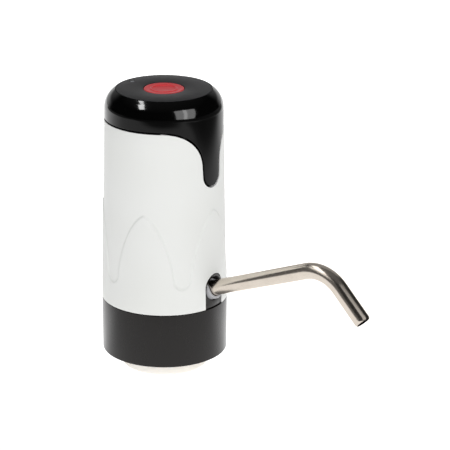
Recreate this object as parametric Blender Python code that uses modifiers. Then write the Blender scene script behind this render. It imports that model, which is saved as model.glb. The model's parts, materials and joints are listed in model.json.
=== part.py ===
# Bottled water pump: a rechargeable pump that sits on the neck of a large water bottle.
# Metres, +Z up, spout along +X. The origin is the centre of the flat ceiling of the neck
# socket, on the body's axis, so everything that the bottle touches lies below it.

import bpy
import bmesh
from math import cos, pi, radians, sin, sqrt, tan
from mathutils import Matrix, Vector

# Shared values
CLEARANCE = 0.0003
OVERRUN = 0.002
MERGE = 0.00001
EDGE_ANGLE = radians(35)
COARSE = 12
ROUND = 24
FINE = 44

# Outline of the body, from the neck socket's ceiling
NECK_DEPTH = 0.022
SEAM_HEIGHT = 0.0287
SHELL_HEIGHT = 0.0969
CAP_HEIGHT = 0.0151
SHELL_FOOT_RADIUS = 0.0328
SHELL_TAPER = 0.00155
SHELL_WALL = 0.002
SHELL_EDGE = 0.0004
SKIRT_REVEAL = 0.0003
SKIRT_WALL = 0.0028
SKIRT_DRAFT = 0.0002
SKIRT_EDGE = 0.0006

# Wave relief round the shell: five wide peaks with narrow valleys between them
WAVE_COUNT = 5
WAVE_PEAK_RISE = 0.053
WAVE_SIDE_RISE = 0.0182
WAVE_VALLEY_RADIUS = 0.0046
WAVE_POWER = 1.5
WAVE_PEAK_STEPS = 7
WAVE_VALLEY_STEPS = 3
RELIEF_STEP = 0.00055
RELIEF_HALF_WIDTH = 0.0007
RELIEF_OFFSET_SHARES = (-1, -0.35, 0.35, 1)
RELIEF_HEIGHT_SHARES = (1, 0.82, 0.18, 0)
BELOW_WAVE_SHARES = (0, 0.45, 0.8)
ABOVE_WAVE_SHARES = (0.25, 0.65, 1)

# Base: deck over the neck socket, upstand inside the shell, spigot for the plug
DECK = 0.002
UPSTAND_WALL = 0.0014
UPSTAND_RISE = 0.005
SPIGOT_RADIUS = 0.0202
SPIGOT_WALL = 0.0016
SPIGOT_SHORTFALL = 0.0033
FRAME_POST_RADIUS = 0.0028
FRAME_POST_ANGLES = (radians(66), radians(229), radians(320))
SCREW_RADIUS = 0.0009
SCREW_HEAD_RADIUS = 0.0018
SCREW_HEAD_HEIGHT = 0.0012
SCREW_LENGTH = 0.006

# Neck plug of soft silicone
PLUG_REACH = 0.0089
PLUG_WALL = 0.002
PLUG_FLARE = 0.0016
PLUG_FLANGE_WIDTH = 0.0041
PLUG_FLANGE = 0.0016
PLUG_RIB = 0.0007
PLUG_RIB_WIDTH = 0.0016
PLUG_RIB_SHARES = (0.25, 0.5)
PLUG_ROUND = 0.0016

# Bottle hose nipple under the deck
NIPPLE_RADIUS = 0.003
NIPPLE_BORE = 0.0017
NIPPLE_LENGTH = 0.016
NIPPLE_FLANGE_RADIUS = 0.0048
BARB = 0.0005
BARB_LENGTH = 0.0015
BARB_SHARES = (0.45, 0.7, 0.95)

# Spout: exit point on the shell, slopes, tube and collar
EXIT_RISE = 0.0107
SPOUT_RISE_ANGLE = radians(21.1)
SPOUT_FALL_ANGLE = radians(45.6)
SPOUT_REACH = 0.0729
SPOUT_DROP = 0.0332
SPOUT_BEND_RADIUS = 0.019
SPOUT_BEND_STEPS = 9
TUBE_RADIUS = 0.004
TUBE_WALL = 0.0005
TUBE_SIDES_RESOLUTION = 7
COLLAR_WALL = 0.0014
COLLAR_LENGTH = 0.0138
COLLAR_PROUD = 0.001
COLLAR_EDGE = 0.0004
SEAL_LENGTH = 0.0014
SOCKET_FLOOR = 0.0015
SOCKET_WALL = 0.0012
SOCKET_BARB_RADIUS = 0.0026
SOCKET_BARB_LENGTH = 0.0075
PASSAGE_RADIUS = 0.0014

# Arch-shaped insert in the shell's notch
ARCH_HALF_WIDTH = 0.0069
ARCH_RISE = 0.01155
ARCH_SET_BACK = 0.0003
ARCH_DEPTH = 0.006
ARCH_STEPS = 11
EAR_STEPS = 6
EAR_REACH = 0.0105
EAR_RADIUS = 0.0028
EAR_THICKNESS = 0.002
EAR_INSET = 0.0095
SOCKET_POST_HEIGHT = 0.006

# Cap: bevel, wall, drip tongue and lip
BEVEL_RADIUS = 0.0109
BEVEL_LIP_ANGLE = radians(27.2)
BEVEL_TUCK = radians(1)
BEVEL_STEPS = 5
CAP_WALL = 0.0018
CAP_DECK = 0.0016
LIP_WALL = 0.0014
LIP_DROP = 0.004
LIP_RISE = 0.0014
TONGUE_LENGTH = 0.03135
TONGUE_HALF_WIDTH = 0.0068
TONGUE_END_RADIUS = 0.0065
CAP_PROUD = 0.0001
TONGUE_WALL = 0.002
FLARE_REACH = 0.0288
FLARE_DROP = 0.0202
FLARE_STEPS = 8

# Top disc, button and switch
PLATE_THICKNESS = 0.0012
BUTTON_RADIUS = 0.0104
BUTTON_DISH = 0.0005
BUTTON_RING_WIDTH = 0.0011
BUTTON_RING_SHARE = 0.66
BUTTON_RING_HEIGHT = 0.00035
BUTTON_EDGE = 0.0005
BUTTON_SKIN = 0.0016
BUTTON_FLANGE_WIDTH = 0.0014
BUTTON_FLANGE = 0.0012
BUTTON_SKIRT_WALL = 0.0014
BUTTON_STEM_RADIUS = 0.0022
BUTTON_STEM_LENGTH = 0.0016
BUTTON_TRAVEL = 0.0006
PLUNGER_RADIUS = 0.00175
PLUNGER_LENGTH = 0.0014
SWITCH_WIDTH = 0.006
SWITCH_FLOOR = 0.0004

# Board, port and indicator
BOARD_THICKNESS = 0.0016
BOARD_MARGIN = 0.0025
BOARD_POST_RADIUS = 0.0024
BOARD_POST_ANGLES = (radians(60), radians(145), radians(-50))
PORT_WIDTH = 0.0075
PORT_LENGTH = 0.0062
PORT_HEIGHT = 0.0026
PORT_WALL = 0.0005
PORT_SET_BACK = 0.0006
INDICATOR_INSET = 0.004
INDICATOR_RADIUS = 0.0012
INDICATOR_FLANGE = 0.0006
LED_LENGTH = 0.003
LED_WIDTH = 0.0016
LED_HEIGHT = 0.0009

# Pump: head, valve plate, diaphragm, wobble plate and housing
PUMP_RADIUS = 0.0132
PUMP_MARGIN = 0.0004
DAMPER_HEIGHT = 0.002
DAMPER_WALL = 0.0032
HEAD_HEIGHT = 0.007
HEAD_CHAMBER_DEPTH = 0.003
HEAD_INLET_RADIUS = 0.0036
HEAD_INLET_WALL = 0.0016
HEAD_OUTLET_WALL = 0.0042
HEAD_SPIGOT_RADIUS = 0.0026
HEAD_SPIGOT_LENGTH = 0.0018
NOZZLE_LENGTH = 0.0065
NOZZLE_RISE = 0.0008
VALVE_PLATE = 0.002
VALVE_RADIUS = 0.003
VALVE_DISC = 0.0006
VALVE_STEM_RADIUS = 0.0008
VALVE_HOLE_RADIUS = 0.0011
DIAPHRAGM = 0.0012
CUP_RADIUS = 0.0032
CUP_HEIGHT = 0.003
CUP_SKIN = 0.0008
STUB_RADIUS = 0.0008
STUB_SHOW = 0.0006
LOBE_CIRCLE = 0.0058
LOBE_COUNT = 3
PUMP_SCREW_CIRCLE = 0.0112
PUMP_SCREW_REACH = 0.006
CHAMBER_RADIUS = 0.0094
PUMP_ROOF = 0.002
WOBBLE_TILT = radians(6)
WOBBLE_REACH = 0.0084
WOBBLE_WAIST_SHARE = 0.55
WOBBLE_THICKNESS = 0.0015
WOBBLE_HOLE_RADIUS = 0.0015
WOBBLE_HUB_RADIUS = 0.0026
WOBBLE_HUB_RISE = 0.001
WOBBLE_PIN_RADIUS = 0.0011
WOBBLE_PIN_REACH = 0.003
WOBBLE_STEPS = 24
CAM_RADIUS = 0.0045
CAM_HEIGHT = 0.005
SHAFT_GRIP = 0.0015

# Motor
MOTOR_RADIUS = 0.0122
MOTOR_LENGTH = 0.031
MOTOR_WALL = 0.001
MOTOR_BOSS_RADIUS = 0.003
MOTOR_BOSS_LENGTH = 0.0015
SHAFT_RADIUS = 0.001
ROTOR_RADIUS = 0.0084
ROTOR_LENGTH = 0.018
ROTOR_INSET = 0.0035
COMMUTATOR_RADIUS = 0.003
COMMUTATOR_LENGTH = 0.004
MAGNET_THICKNESS = 0.0016
MAGNET_INSET = 0.002
END_CAP = 0.0024
END_BOSS = 0.0012
TERMINAL_WIDTH = 0.0022
TERMINAL_THICKNESS = 0.0005
TERMINAL_HEIGHT = 0.0045
TERMINAL_OFFSET = 0.0062

# Cell, cradle and frame
CELL_RADIUS = 0.00915
CELL_LENGTH = 0.065
CELL_ANGLE = radians(-80)
CELL_NUB_RADIUS = 0.003
CELL_NUB_HEIGHT = 0.0008
CRADLE_WALL = 0.001
CRADLE_FLOOR = 0.0012
CRADLE_HEIGHT = 0.018
CRADLE_SLOT = 0.004
TAB_WIDTH = 0.003
TAB_THICKNESS = 0.0002
TAB_OVERHANG = 0.0012
FRAME_THICKNESS = 0.0024
WIRE_RADIUS = 0.0006
WIRE_STEPS = 9
WIRE_HOLE_RADIUS = 0.0014
HOSE_WALL = 0.0015
HOSE_STEPS = 6

# Levels and radii that follow from the values above
SEAM = SEAM_HEIGHT - NECK_DEPTH
CAP_EDGE = SEAM + SHELL_HEIGHT
TOP = CAP_EDGE + CAP_HEIGHT
SKIRT_FOOT = -NECK_DEPTH
SHELL_LOW = SEAM + CLEARANCE
SHELL_HIGH = CAP_EDGE - CLEARANCE
PLUG_FOOT = SKIRT_FOOT - PLUG_REACH
SPIGOT_FOOT = PLUG_FOOT + SPIGOT_SHORTFALL + CLEARANCE


def raised_radius(z):
    # Outer radius of the shell's raised part at a height.
    return SHELL_FOOT_RADIUS - SHELL_TAPER * (z - SEAM) / SHELL_HEIGHT


def recessed_radius(z):
    return raised_radius(z) - RELIEF_STEP


def shell_inner_radius(z):
    return recessed_radius(z) - SHELL_WALL


UPSTAND_RADIUS = shell_inner_radius(SEAM) - CLEARANCE
WELL_RADIUS = UPSTAND_RADIUS - UPSTAND_WALL

# Spout line
EXIT_HEIGHT = SEAM + EXIT_RISE
EXIT_RADIUS = raised_radius(EXIT_HEIGHT)
COLLAR_RADIUS = TUBE_RADIUS + CLEARANCE + COLLAR_WALL
COLLAR_FOOT = COLLAR_PROUD - COLLAR_LENGTH
SEAL_FOOT = COLLAR_FOOT - CLEARANCE - SEAL_LENGTH
SOCKET_BORE = COLLAR_RADIUS + CLEARANCE
SOCKET_RADIUS = SOCKET_BORE + SOCKET_WALL
SOCKET_BOTTOM = SEAL_FOOT - CLEARANCE
SOCKET_FOOT = SOCKET_BOTTOM - SOCKET_FLOOR
HOSE_BORE = SOCKET_BARB_RADIUS + CLEARANCE
HOSE_RADIUS = HOSE_BORE + HOSE_WALL
TUBE_FOOT = SEAL_FOOT

# Cap levels
TONGUE_END = CAP_EDGE - TONGUE_LENGTH
BEVEL_FOOT = TOP - BEVEL_RADIUS * cos(BEVEL_LIP_ANGLE)
LIP_RADIUS = shell_inner_radius(CAP_EDGE) - CLEARANCE
LIP_BORE = LIP_RADIUS - LIP_WALL
LIP_FOOT = CAP_EDGE - LIP_DROP


def cap_radius(z):
    # Outer radius of the cap's wall and tongue: a hair over the shell's recessed wall.
    return recessed_radius(z) + CAP_PROUD


TUCK_LEVEL = BEVEL_FOOT - BEVEL_RADIUS * sin(BEVEL_TUCK)
CAP_WAIST = cap_radius(TUCK_LEVEL)
CAP_INNER = cap_radius(CAP_EDGE) - CAP_WALL
BEVEL_CENTRE = CAP_WAIST - BEVEL_RADIUS * cos(BEVEL_TUCK)
CAP_RADIUS = BEVEL_CENTRE + BEVEL_RADIUS
DISC_RADIUS = BEVEL_CENTRE + BEVEL_RADIUS * sin(BEVEL_LIP_ANGLE)
PLATE_LOW = TOP - PLATE_THICKNESS
CAP_DECK_TOP = PLATE_LOW - CLEARANCE
CAP_DECK_LOW = CAP_DECK_TOP - CAP_DECK
BUTTON_HOLE = BUTTON_RADIUS + CLEARANCE
FLANGE_TOP = CAP_DECK_LOW - CLEARANCE
FLANGE_LOW = FLANGE_TOP - BUTTON_FLANGE
STEM_LOW = FLANGE_LOW - BUTTON_STEM_LENGTH
PLUNGER_TOP = STEM_LOW - CLEARANCE
PLUNGER_LOW = PLUNGER_TOP - PLUNGER_LENGTH
SWITCH_TOP = PLUNGER_TOP - BUTTON_TRAVEL - CLEARANCE
SWITCH_POCKET = PLUNGER_LOW - BUTTON_TRAVEL - CLEARANCE
SWITCH_LOW = SWITCH_POCKET - SWITCH_FLOOR
BOARD_TOP = SWITCH_LOW - CLEARANCE
BOARD_LOW = BOARD_TOP - BOARD_THICKNESS
BOARD_RADIUS = LIP_BORE - BOARD_MARGIN
BOARD_POST_CIRCLE = BOARD_RADIUS - BOARD_POST_RADIUS - CLEARANCE
INDICATOR_OFFSET = BOARD_RADIUS - INDICATOR_INSET
PORT_TOP = BOARD_LOW - CLEARANCE
PORT_LOW = PORT_TOP - PORT_HEIGHT
PORT_MOUTH = CAP_INNER - PORT_SET_BACK

# Pump line levels, from the deck up
PUMP_OFFSET = min(WELL_RADIUS - PUMP_RADIUS - PUMP_MARGIN,
                  SPIGOT_RADIUS - SPIGOT_WALL - NIPPLE_RADIUS - 2 * CLEARANCE)
DAMPER_LOW = DECK + CLEARANCE
DAMPER_TOP = DAMPER_LOW + DAMPER_HEIGHT
HEAD_LOW = DAMPER_TOP + CLEARANCE
HEAD_TOP = HEAD_LOW + HEAD_HEIGHT
VALVE_LOW = HEAD_TOP + CLEARANCE
VALVE_TOP = VALVE_LOW + VALVE_PLATE
DIAPHRAGM_LOW = VALVE_TOP + CLEARANCE
DIAPHRAGM_TOP = DIAPHRAGM_LOW + DIAPHRAGM
CUP_TOP = DIAPHRAGM_TOP + CUP_HEIGHT
HOUSING_LOW = DIAPHRAGM_TOP + CLEARANCE
WOBBLE_SWING = WOBBLE_REACH * sin(WOBBLE_TILT)
WOBBLE_HEIGHT = CUP_TOP + CLEARANCE + WOBBLE_SWING + WOBBLE_THICKNESS / 2
STUB_TOP = WOBBLE_HEIGHT + WOBBLE_THICKNESS / 2 + STUB_SHOW
HUB_SWING = WOBBLE_HUB_RADIUS * sin(WOBBLE_TILT)
WOBBLE_TOP = WOBBLE_THICKNESS / 2 + WOBBLE_HUB_RISE
CAM_LOW = WOBBLE_HEIGHT + WOBBLE_TOP + HUB_SWING + CLEARANCE
CAM_TOP = CAM_LOW + CAM_HEIGHT
HOUSING_ROOF = CAM_TOP + CLEARANCE + MOTOR_BOSS_LENGTH
HOUSING_TOP = HOUSING_ROOF + PUMP_ROOF
MOTOR_LOW = HOUSING_TOP + CLEARANCE
MOTOR_TOP = MOTOR_LOW + MOTOR_LENGTH
SHAFT_LOW = CAM_TOP - SHAFT_GRIP
END_CAP_LOW = MOTOR_TOP + CLEARANCE
END_CAP_TOP = END_CAP_LOW + END_CAP
SHAFT_TOP = END_CAP_TOP
NOZZLE_HEIGHT = DECK + CLEARANCE + HOSE_RADIUS + NOZZLE_RISE
FRAME_LOW = HOUSING_TOP + CLEARANCE
FRAME_TOP = FRAME_LOW + FRAME_THICKNESS
FRAME_POST_TOP = FRAME_LOW - CLEARANCE
FRAME_POST_CIRCLE = WELL_RADIUS - FRAME_POST_RADIUS - PUMP_MARGIN

# Cell line levels
CRADLE_RADIUS = CELL_RADIUS + CLEARANCE + CRADLE_WALL
CELL_CIRCLE = WELL_RADIUS - CRADLE_RADIUS - PUMP_MARGIN
CRADLE_LOW = DECK + CLEARANCE
TAB_LOW = CRADLE_LOW + CRADLE_FLOOR + CLEARANCE
CELL_LOW = TAB_LOW + TAB_THICKNESS + CLEARANCE
CELL_TOP = CELL_LOW + CELL_LENGTH
TAB_TOP_LOW = CELL_TOP + CELL_NUB_HEIGHT + CLEARANCE

# Finishes: colour, roughness, metallic
FINISHES = {
    "white_shell": ((0.80, 0.81, 0.80), 0.45, 0),
    "black_matt": ((0.035, 0.033, 0.031), 0.55, 0),
    "black_gloss": ((0.012, 0.012, 0.013), 0.12, 0),
    "disc_matt": ((0.055, 0.055, 0.06), 0.5, 0),
    "button_red": ((0.62, 0.07, 0.08), 0.4, 0),
    "silicone_white": ((0.86, 0.84, 0.80), 0.6, 0),
    "collar_grey": ((0.55, 0.55, 0.56), 0.4, 0),
    "spout_steel": ((0.72, 0.69, 0.65), 0.18, 1),
    "clear_lens": ((0.75, 0.78, 0.85), 0.1, 0),
    "seal_black": ((0.02, 0.02, 0.02), 0.7, 0),
    "motor_steel": ((0.6, 0.6, 0.6), 0.35, 1),
    "magnet_grey": ((0.12, 0.12, 0.13), 0.5, 0),
    "screw_steel": ((0.55, 0.55, 0.56), 0.3, 1),
    "copper": ((0.72, 0.38, 0.22), 0.35, 1),
    "nickel": ((0.66, 0.64, 0.6), 0.3, 1),
    "board_green": ((0.03, 0.22, 0.1), 0.4, 0),
    "pump_plastic": ((0.75, 0.75, 0.72), 0.5, 0),
    "inner_plastic": ((0.06, 0.06, 0.065), 0.5, 0),
    "cell_wrap": ((0.1, 0.25, 0.55), 0.35, 0),
    "hose_clear": ((0.8, 0.82, 0.82), 0.3, 0),
    "wire_red": ((0.6, 0.03, 0.03), 0.45, 0),
    "wire_black": ((0.02, 0.02, 0.02), 0.45, 0),
}


# Scene and building blocks
for old in list(bpy.data.objects):
    bpy.data.objects.remove(old)
PARTS = bpy.data.collections.new("bottled_water_pump")
CUTTERS = bpy.data.collections.new("cutters")
bpy.context.scene.collection.children.link(PARTS)
bpy.context.scene.collection.children.link(CUTTERS)


def material(finish):
    found = bpy.data.materials.get(finish)
    if found:
        return found
    colour, roughness, metallic = FINISHES[finish]
    made = bpy.data.materials.new(finish)
    made.use_nodes = True
    shader = made.node_tree.nodes["Principled BSDF"]
    shader.inputs["Base Color"].default_value = (*colour, 1)
    shader.inputs["Roughness"].default_value = roughness
    shader.inputs["Metallic"].default_value = metallic
    return made


def place(name, data, line=None, finish=None):
    # A piece with a finish is a part; one without is a cutter or a shape to be joined.
    obj = bpy.data.objects.new(name, data)
    if finish:
        PARTS.objects.link(obj)
        data.materials.append(material(finish))
    else:
        CUTTERS.objects.link(obj)
        obj.hide_render = True
        obj.display_type = "WIRE"
    obj.parent = line
    return obj


def line_at(name, location, rotation=(0, 0, 0), parent=None):
    empty = bpy.data.objects.new(name, None)
    PARTS.objects.link(empty)
    empty.location = location
    empty.rotation_euler = rotation
    empty.parent = parent
    return empty


def finish_mesh(bm, name):
    bmesh.ops.recalc_face_normals(bm, faces=bm.faces)
    mesh = bpy.data.meshes.new(name)
    bm.to_mesh(mesh)
    bm.free()
    mesh.shade_smooth()
    mesh.set_sharp_from_angle(angle=EDGE_ANGLE)
    return mesh


def turned(name, profile, line=None, finish=None, steps=ROUND):
    # The profile is (radius, height) pairs, down the outer side. One that starts off the
    # axis is a closed ring section.
    mesh = bpy.data.meshes.new(name)
    corners = [(radius, 0, height) for radius, height in profile]
    edges = [(i, i + 1) for i in range(len(corners) - 1)]
    if profile[0][0] > 0:
        edges.append((len(corners) - 1, 0))
    mesh.from_pydata(corners, edges, [])
    obj = place(name, mesh, line, finish)
    screw = obj.modifiers.new("turn", "SCREW")
    screw.axis = "Z"
    screw.steps = steps
    screw.render_steps = steps
    screw.use_merge_vertices = True
    screw.merge_threshold = MERGE
    screw.use_smooth_shade = True
    return obj


def drum(name, radius, low, high, line=None, finish=None, steps=COARSE, at=(0, 0), turn=None):
    # A cylinder along Z, or along the direction that turn gives.
    bm = bmesh.new()
    middle = Matrix.Translation((at[0], at[1], (low + high) / 2))
    if turn:
        middle = turn @ middle
    bmesh.ops.create_cone(bm, cap_ends=True, segments=steps, radius1=radius, radius2=radius,
                          depth=high - low, matrix=middle)
    return place(name, finish_mesh(bm, name), line, finish)


def block(name, low, high, line=None, finish=None, turn=None):
    # A box between two opposite corners.
    low, high = Vector(low), Vector(high)
    size = high - low
    where = Matrix.Translation((low + high) / 2) @ Matrix.Diagonal((*size, 1))
    if turn:
        where = turn @ where
    bm = bmesh.new()
    bmesh.ops.create_cube(bm, size=1, matrix=where)
    return place(name, finish_mesh(bm, name), line, finish)


def made_mesh(obj):
    # Turns a curve object into a mesh object with welded caps.
    bpy.context.view_layer.update()
    graph = bpy.context.evaluated_depsgraph_get()
    mesh = bpy.data.meshes.new_from_object(obj.evaluated_get(graph))
    bm = bmesh.new()
    bm.from_mesh(mesh)
    bmesh.ops.remove_doubles(bm, verts=bm.verts, dist=MERGE)
    bmesh.ops.recalc_face_normals(bm, faces=bm.faces)
    bm.to_mesh(mesh)
    bm.free()
    mesh.shade_smooth()
    mesh.set_sharp_from_angle(angle=EDGE_ANGLE)
    name, place_now, line = obj.name, obj.matrix_world.copy(), obj.parent
    collection = obj.users_collection[0]
    hidden, shown_as = obj.hide_render, obj.display_type
    bpy.data.objects.remove(obj)
    made = bpy.data.objects.new(name, mesh)
    collection.objects.link(made)
    made.hide_render = hidden
    made.display_type = shown_as
    made.parent = line
    made.matrix_world = place_now
    return made


def slab(name, outline, low, high, line=None, finish=None, turn=None):
    # A flat outline of (x, y) points, filled and made thick from low to high.
    curve = bpy.data.curves.new(name, "CURVE")
    curve.dimensions = "2D"
    curve.fill_mode = "BOTH"
    curve.extrude = (high - low) / 2
    spline = curve.splines.new("POLY")
    spline.points.add(len(outline) - 1)
    for point, (x, y) in zip(spline.points, outline):
        point.co = (x, y, 0, 1)
    spline.use_cyclic_u = True
    obj = place(name, curve, line, finish)
    obj.matrix_local = (turn or Matrix.Identity(4)) @ Matrix.Translation((0, 0, (low + high) / 2))
    return made_mesh(obj)


def pipe(name, route, radius, line=None, finish=None, resolution=2, wall=None):
    # A tube along the route's points: solid, or hollow with a wall.
    curve = bpy.data.curves.new(name, "CURVE")
    curve.dimensions = "3D"
    curve.bevel_depth = radius
    curve.bevel_resolution = resolution
    curve.use_fill_caps = wall is None
    spline = curve.splines.new("POLY")
    spline.points.add(len(route) - 1)
    for point, co in zip(spline.points, route):
        point.co = (*co, 1)
    obj = made_mesh(place(name, curve, line, finish))
    if wall:
        solid = obj.modifiers.new("wall", "SOLIDIFY")
        solid.thickness = wall
        solid.offset = -1
    return obj


def boolean(obj, other, operation):
    step = obj.modifiers.new(operation.lower(), "BOOLEAN")
    step.operation = operation
    step.object = other
    step.solver = "EXACT"
    return obj


def cut(obj, *others):
    for other in others:
        boolean(obj, other, "DIFFERENCE")
    return obj


def join(obj, *others):
    for other in others:
        boolean(obj, other, "UNION")
    return obj


def on_circle(radius, angle):
    return radius * cos(angle), radius * sin(angle)


def even_angles(count, start=0):
    return [start + 2 * pi * i / count for i in range(count)]


# Turns an outline drawn in X and Y upright: X to the side, Y up, thickness along +X
UPRIGHT = Matrix(((0, 0, 1, 0), (1, 0, 0, 0), (0, 1, 0, 0), (0, 0, 0, 1)))

SPOUT_LINE = line_at("spout_line", (EXIT_RADIUS, 0, EXIT_HEIGHT), (0, pi / 2 - SPOUT_RISE_ANGLE, 0))
PUMP_LINE = line_at("pump_line", (-PUMP_OFFSET, 0, 0))
WOBBLE_LINE = line_at("wobble_line", (0, 0, WOBBLE_HEIGHT), (0, WOBBLE_TILT, 0), PUMP_LINE)
CELL_LINE = line_at("cell_line", (*on_circle(CELL_CIRCLE, CELL_ANGLE), 0))


# Screws
def screw(name, at, head_low, points_up, line=None):
    # A pan-head screw. Its shank points up from the head, or down from it.
    x, y = at
    head_top = head_low + SCREW_HEAD_HEIGHT
    if points_up:
        profile = [(0, head_top + SCREW_LENGTH), (SCREW_RADIUS, head_top + SCREW_LENGTH),
                   (SCREW_RADIUS, head_top), (SCREW_HEAD_RADIUS, head_top),
                   (SCREW_HEAD_RADIUS, head_low), (0, head_low)]
    else:
        profile = [(0, head_top), (SCREW_HEAD_RADIUS, head_top), (SCREW_HEAD_RADIUS, head_low),
                   (SCREW_RADIUS, head_low), (SCREW_RADIUS, head_low - SCREW_LENGTH),
                   (0, head_low - SCREW_LENGTH)]
    obj = turned(name, profile, line, "screw_steel", COARSE)
    obj.location = (x, y, 0)
    return obj


# White shell with its wave relief
def wave_columns():
    # One (arc, rise) pair for each column round the shell, from the peak over the spout.
    half = pi * SHELL_FOOT_RADIUS / WAVE_COUNT
    side = half - WAVE_VALLEY_RADIUS
    crown = WAVE_PEAK_RISE - WAVE_SIDE_RISE
    points = []
    for k in range(WAVE_PEAK_STEPS):
        t = pi / 2 * k / WAVE_PEAK_STEPS
        points.append((side * sin(t) ** (2 / WAVE_POWER),
                       WAVE_SIDE_RISE + crown * cos(t) ** (2 / WAVE_POWER)))
    for k in range(WAVE_VALLEY_STEPS + 1):
        t = pi / 2 * k / WAVE_VALLEY_STEPS
        points.append((half - WAVE_VALLEY_RADIUS * cos(t),
                       WAVE_SIDE_RISE - WAVE_VALLEY_RADIUS * sin(t)))
    mirrored = [(2 * half - arc, rise) for arc, rise in reversed(points[1:-1])]
    period = points + mirrored
    return [(arc + 2 * half * n, rise) for n in range(WAVE_COUNT) for arc, rise in period]


def shell_section(columns, i):
    # The closed section of the shell at column i, as (angle, height, radius).
    count = len(columns)
    round_arc = 2 * pi * SHELL_FOOT_RADIUS
    arc, rise = columns[i]
    before, after = columns[i - 1], columns[(i + 1) % count]
    run = (after[0] - before[0]) % round_arc
    climb = after[1] - before[1]
    length = sqrt(run * run + climb * climb)
    normal = (-climb / length, run / length)
    angle = arc / SHELL_FOOT_RADIUS
    band = []
    for share, height in zip(RELIEF_OFFSET_SHARES, RELIEF_HEIGHT_SHARES):
        offset = share * RELIEF_HALF_WIDTH
        turn = angle + offset * normal[0] / SHELL_FOOT_RADIUS
        z = SEAM + rise + offset * normal[1]
        band.append((turn, z, recessed_radius(z) + height * RELIEF_STEP))
    section = []
    for share in BELOW_WAVE_SHARES:
        z = SHELL_LOW + share * (band[0][1] - SHELL_LOW)
        section.append((angle + share * (band[0][0] - angle), z, raised_radius(z)))
    section += band
    edge = SHELL_HIGH - SHELL_EDGE
    for share in ABOVE_WAVE_SHARES:
        z = band[-1][1] + share * (edge - band[-1][1])
        section.append((band[-1][0] + share * (angle - band[-1][0]), z, recessed_radius(z)))
    section.append((angle, SHELL_HIGH, recessed_radius(SHELL_HIGH) - SHELL_EDGE))
    section.append((angle, SHELL_HIGH, shell_inner_radius(SHELL_HIGH)))
    section.append((angle, SHELL_LOW, shell_inner_radius(SHELL_LOW)))
    return section


def body_shell():
    # A grid is wrapped round the section and round the axis, then the notch is cut.
    columns = wave_columns()
    sections = [shell_section(columns, i) for i in range(len(columns))]
    across, along = len(columns), len(sections[0])
    bm = bmesh.new()
    bmesh.ops.create_grid(bm, x_segments=across, y_segments=along, size=1)
    for vertex in bm.verts:
        i = round((vertex.co.x + 1) / 2 * across) % across
        j = round((vertex.co.y + 1) / 2 * along) % along
        angle, z, radius = sections[i][j]
        vertex.co = (radius * cos(angle), radius * sin(angle), z)
    bmesh.ops.remove_doubles(bm, verts=bm.verts, dist=MERGE)
    shell = place("body_shell", finish_mesh(bm, "body_shell"), None, "white_shell")
    notch = slab("shell_notch", arch_outline(ARCH_HALF_WIDTH, SEAM - OVERRUN),
                 0, SHELL_FOOT_RADIUS + OVERRUN, turn=UPRIGHT)
    drip = slab("shell_drip", drip_outline(CLEARANCE), 0, SHELL_FOOT_RADIUS + OVERRUN, turn=UPRIGHT)
    return cut(shell, notch, drip)


def arch_outline(half_width, foot):
    # An arch: straight sides from the foot and a half circle on top.
    centre = SEAM + ARCH_RISE
    points = [(-half_width, foot), (half_width, foot)]
    for k in range(ARCH_STEPS + 1):
        t = pi * k / ARCH_STEPS
        points.append((half_width * cos(t), centre + half_width * sin(t)))
    return points


def drip_outline(gap):
    # The drip tongue and its flare, grown by a gap, with its top above the cap's edge.
    radius = cap_radius(TONGUE_END)
    flare_foot = CAP_EDGE - FLARE_DROP
    side = []
    for k in range(FLARE_STEPS + 1):
        t = pi / 2 * k / FLARE_STEPS
        reach = FLARE_REACH - TONGUE_HALF_WIDTH - gap
        side.append((FLARE_REACH - reach * sin(t), flare_foot + (FLARE_DROP - gap) * cos(t)))
    end = TONGUE_END_RADIUS + gap
    centre = TONGUE_END + TONGUE_END_RADIUS
    for k in range(FLARE_STEPS // 2 + 1):
        t = pi / 2 * k / (FLARE_STEPS // 2)
        side.append((end * cos(t), centre - end * sin(t)))
    right = [(radius * sin(arc / radius), z) for arc, z in side]
    left = [(-y, z) for y, z in reversed(right[:-1])]
    reach = right[0][0]
    return [(reach, CAP_EDGE + OVERRUN)] + right + left + [(-reach, CAP_EDGE + OVERRUN)]


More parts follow.
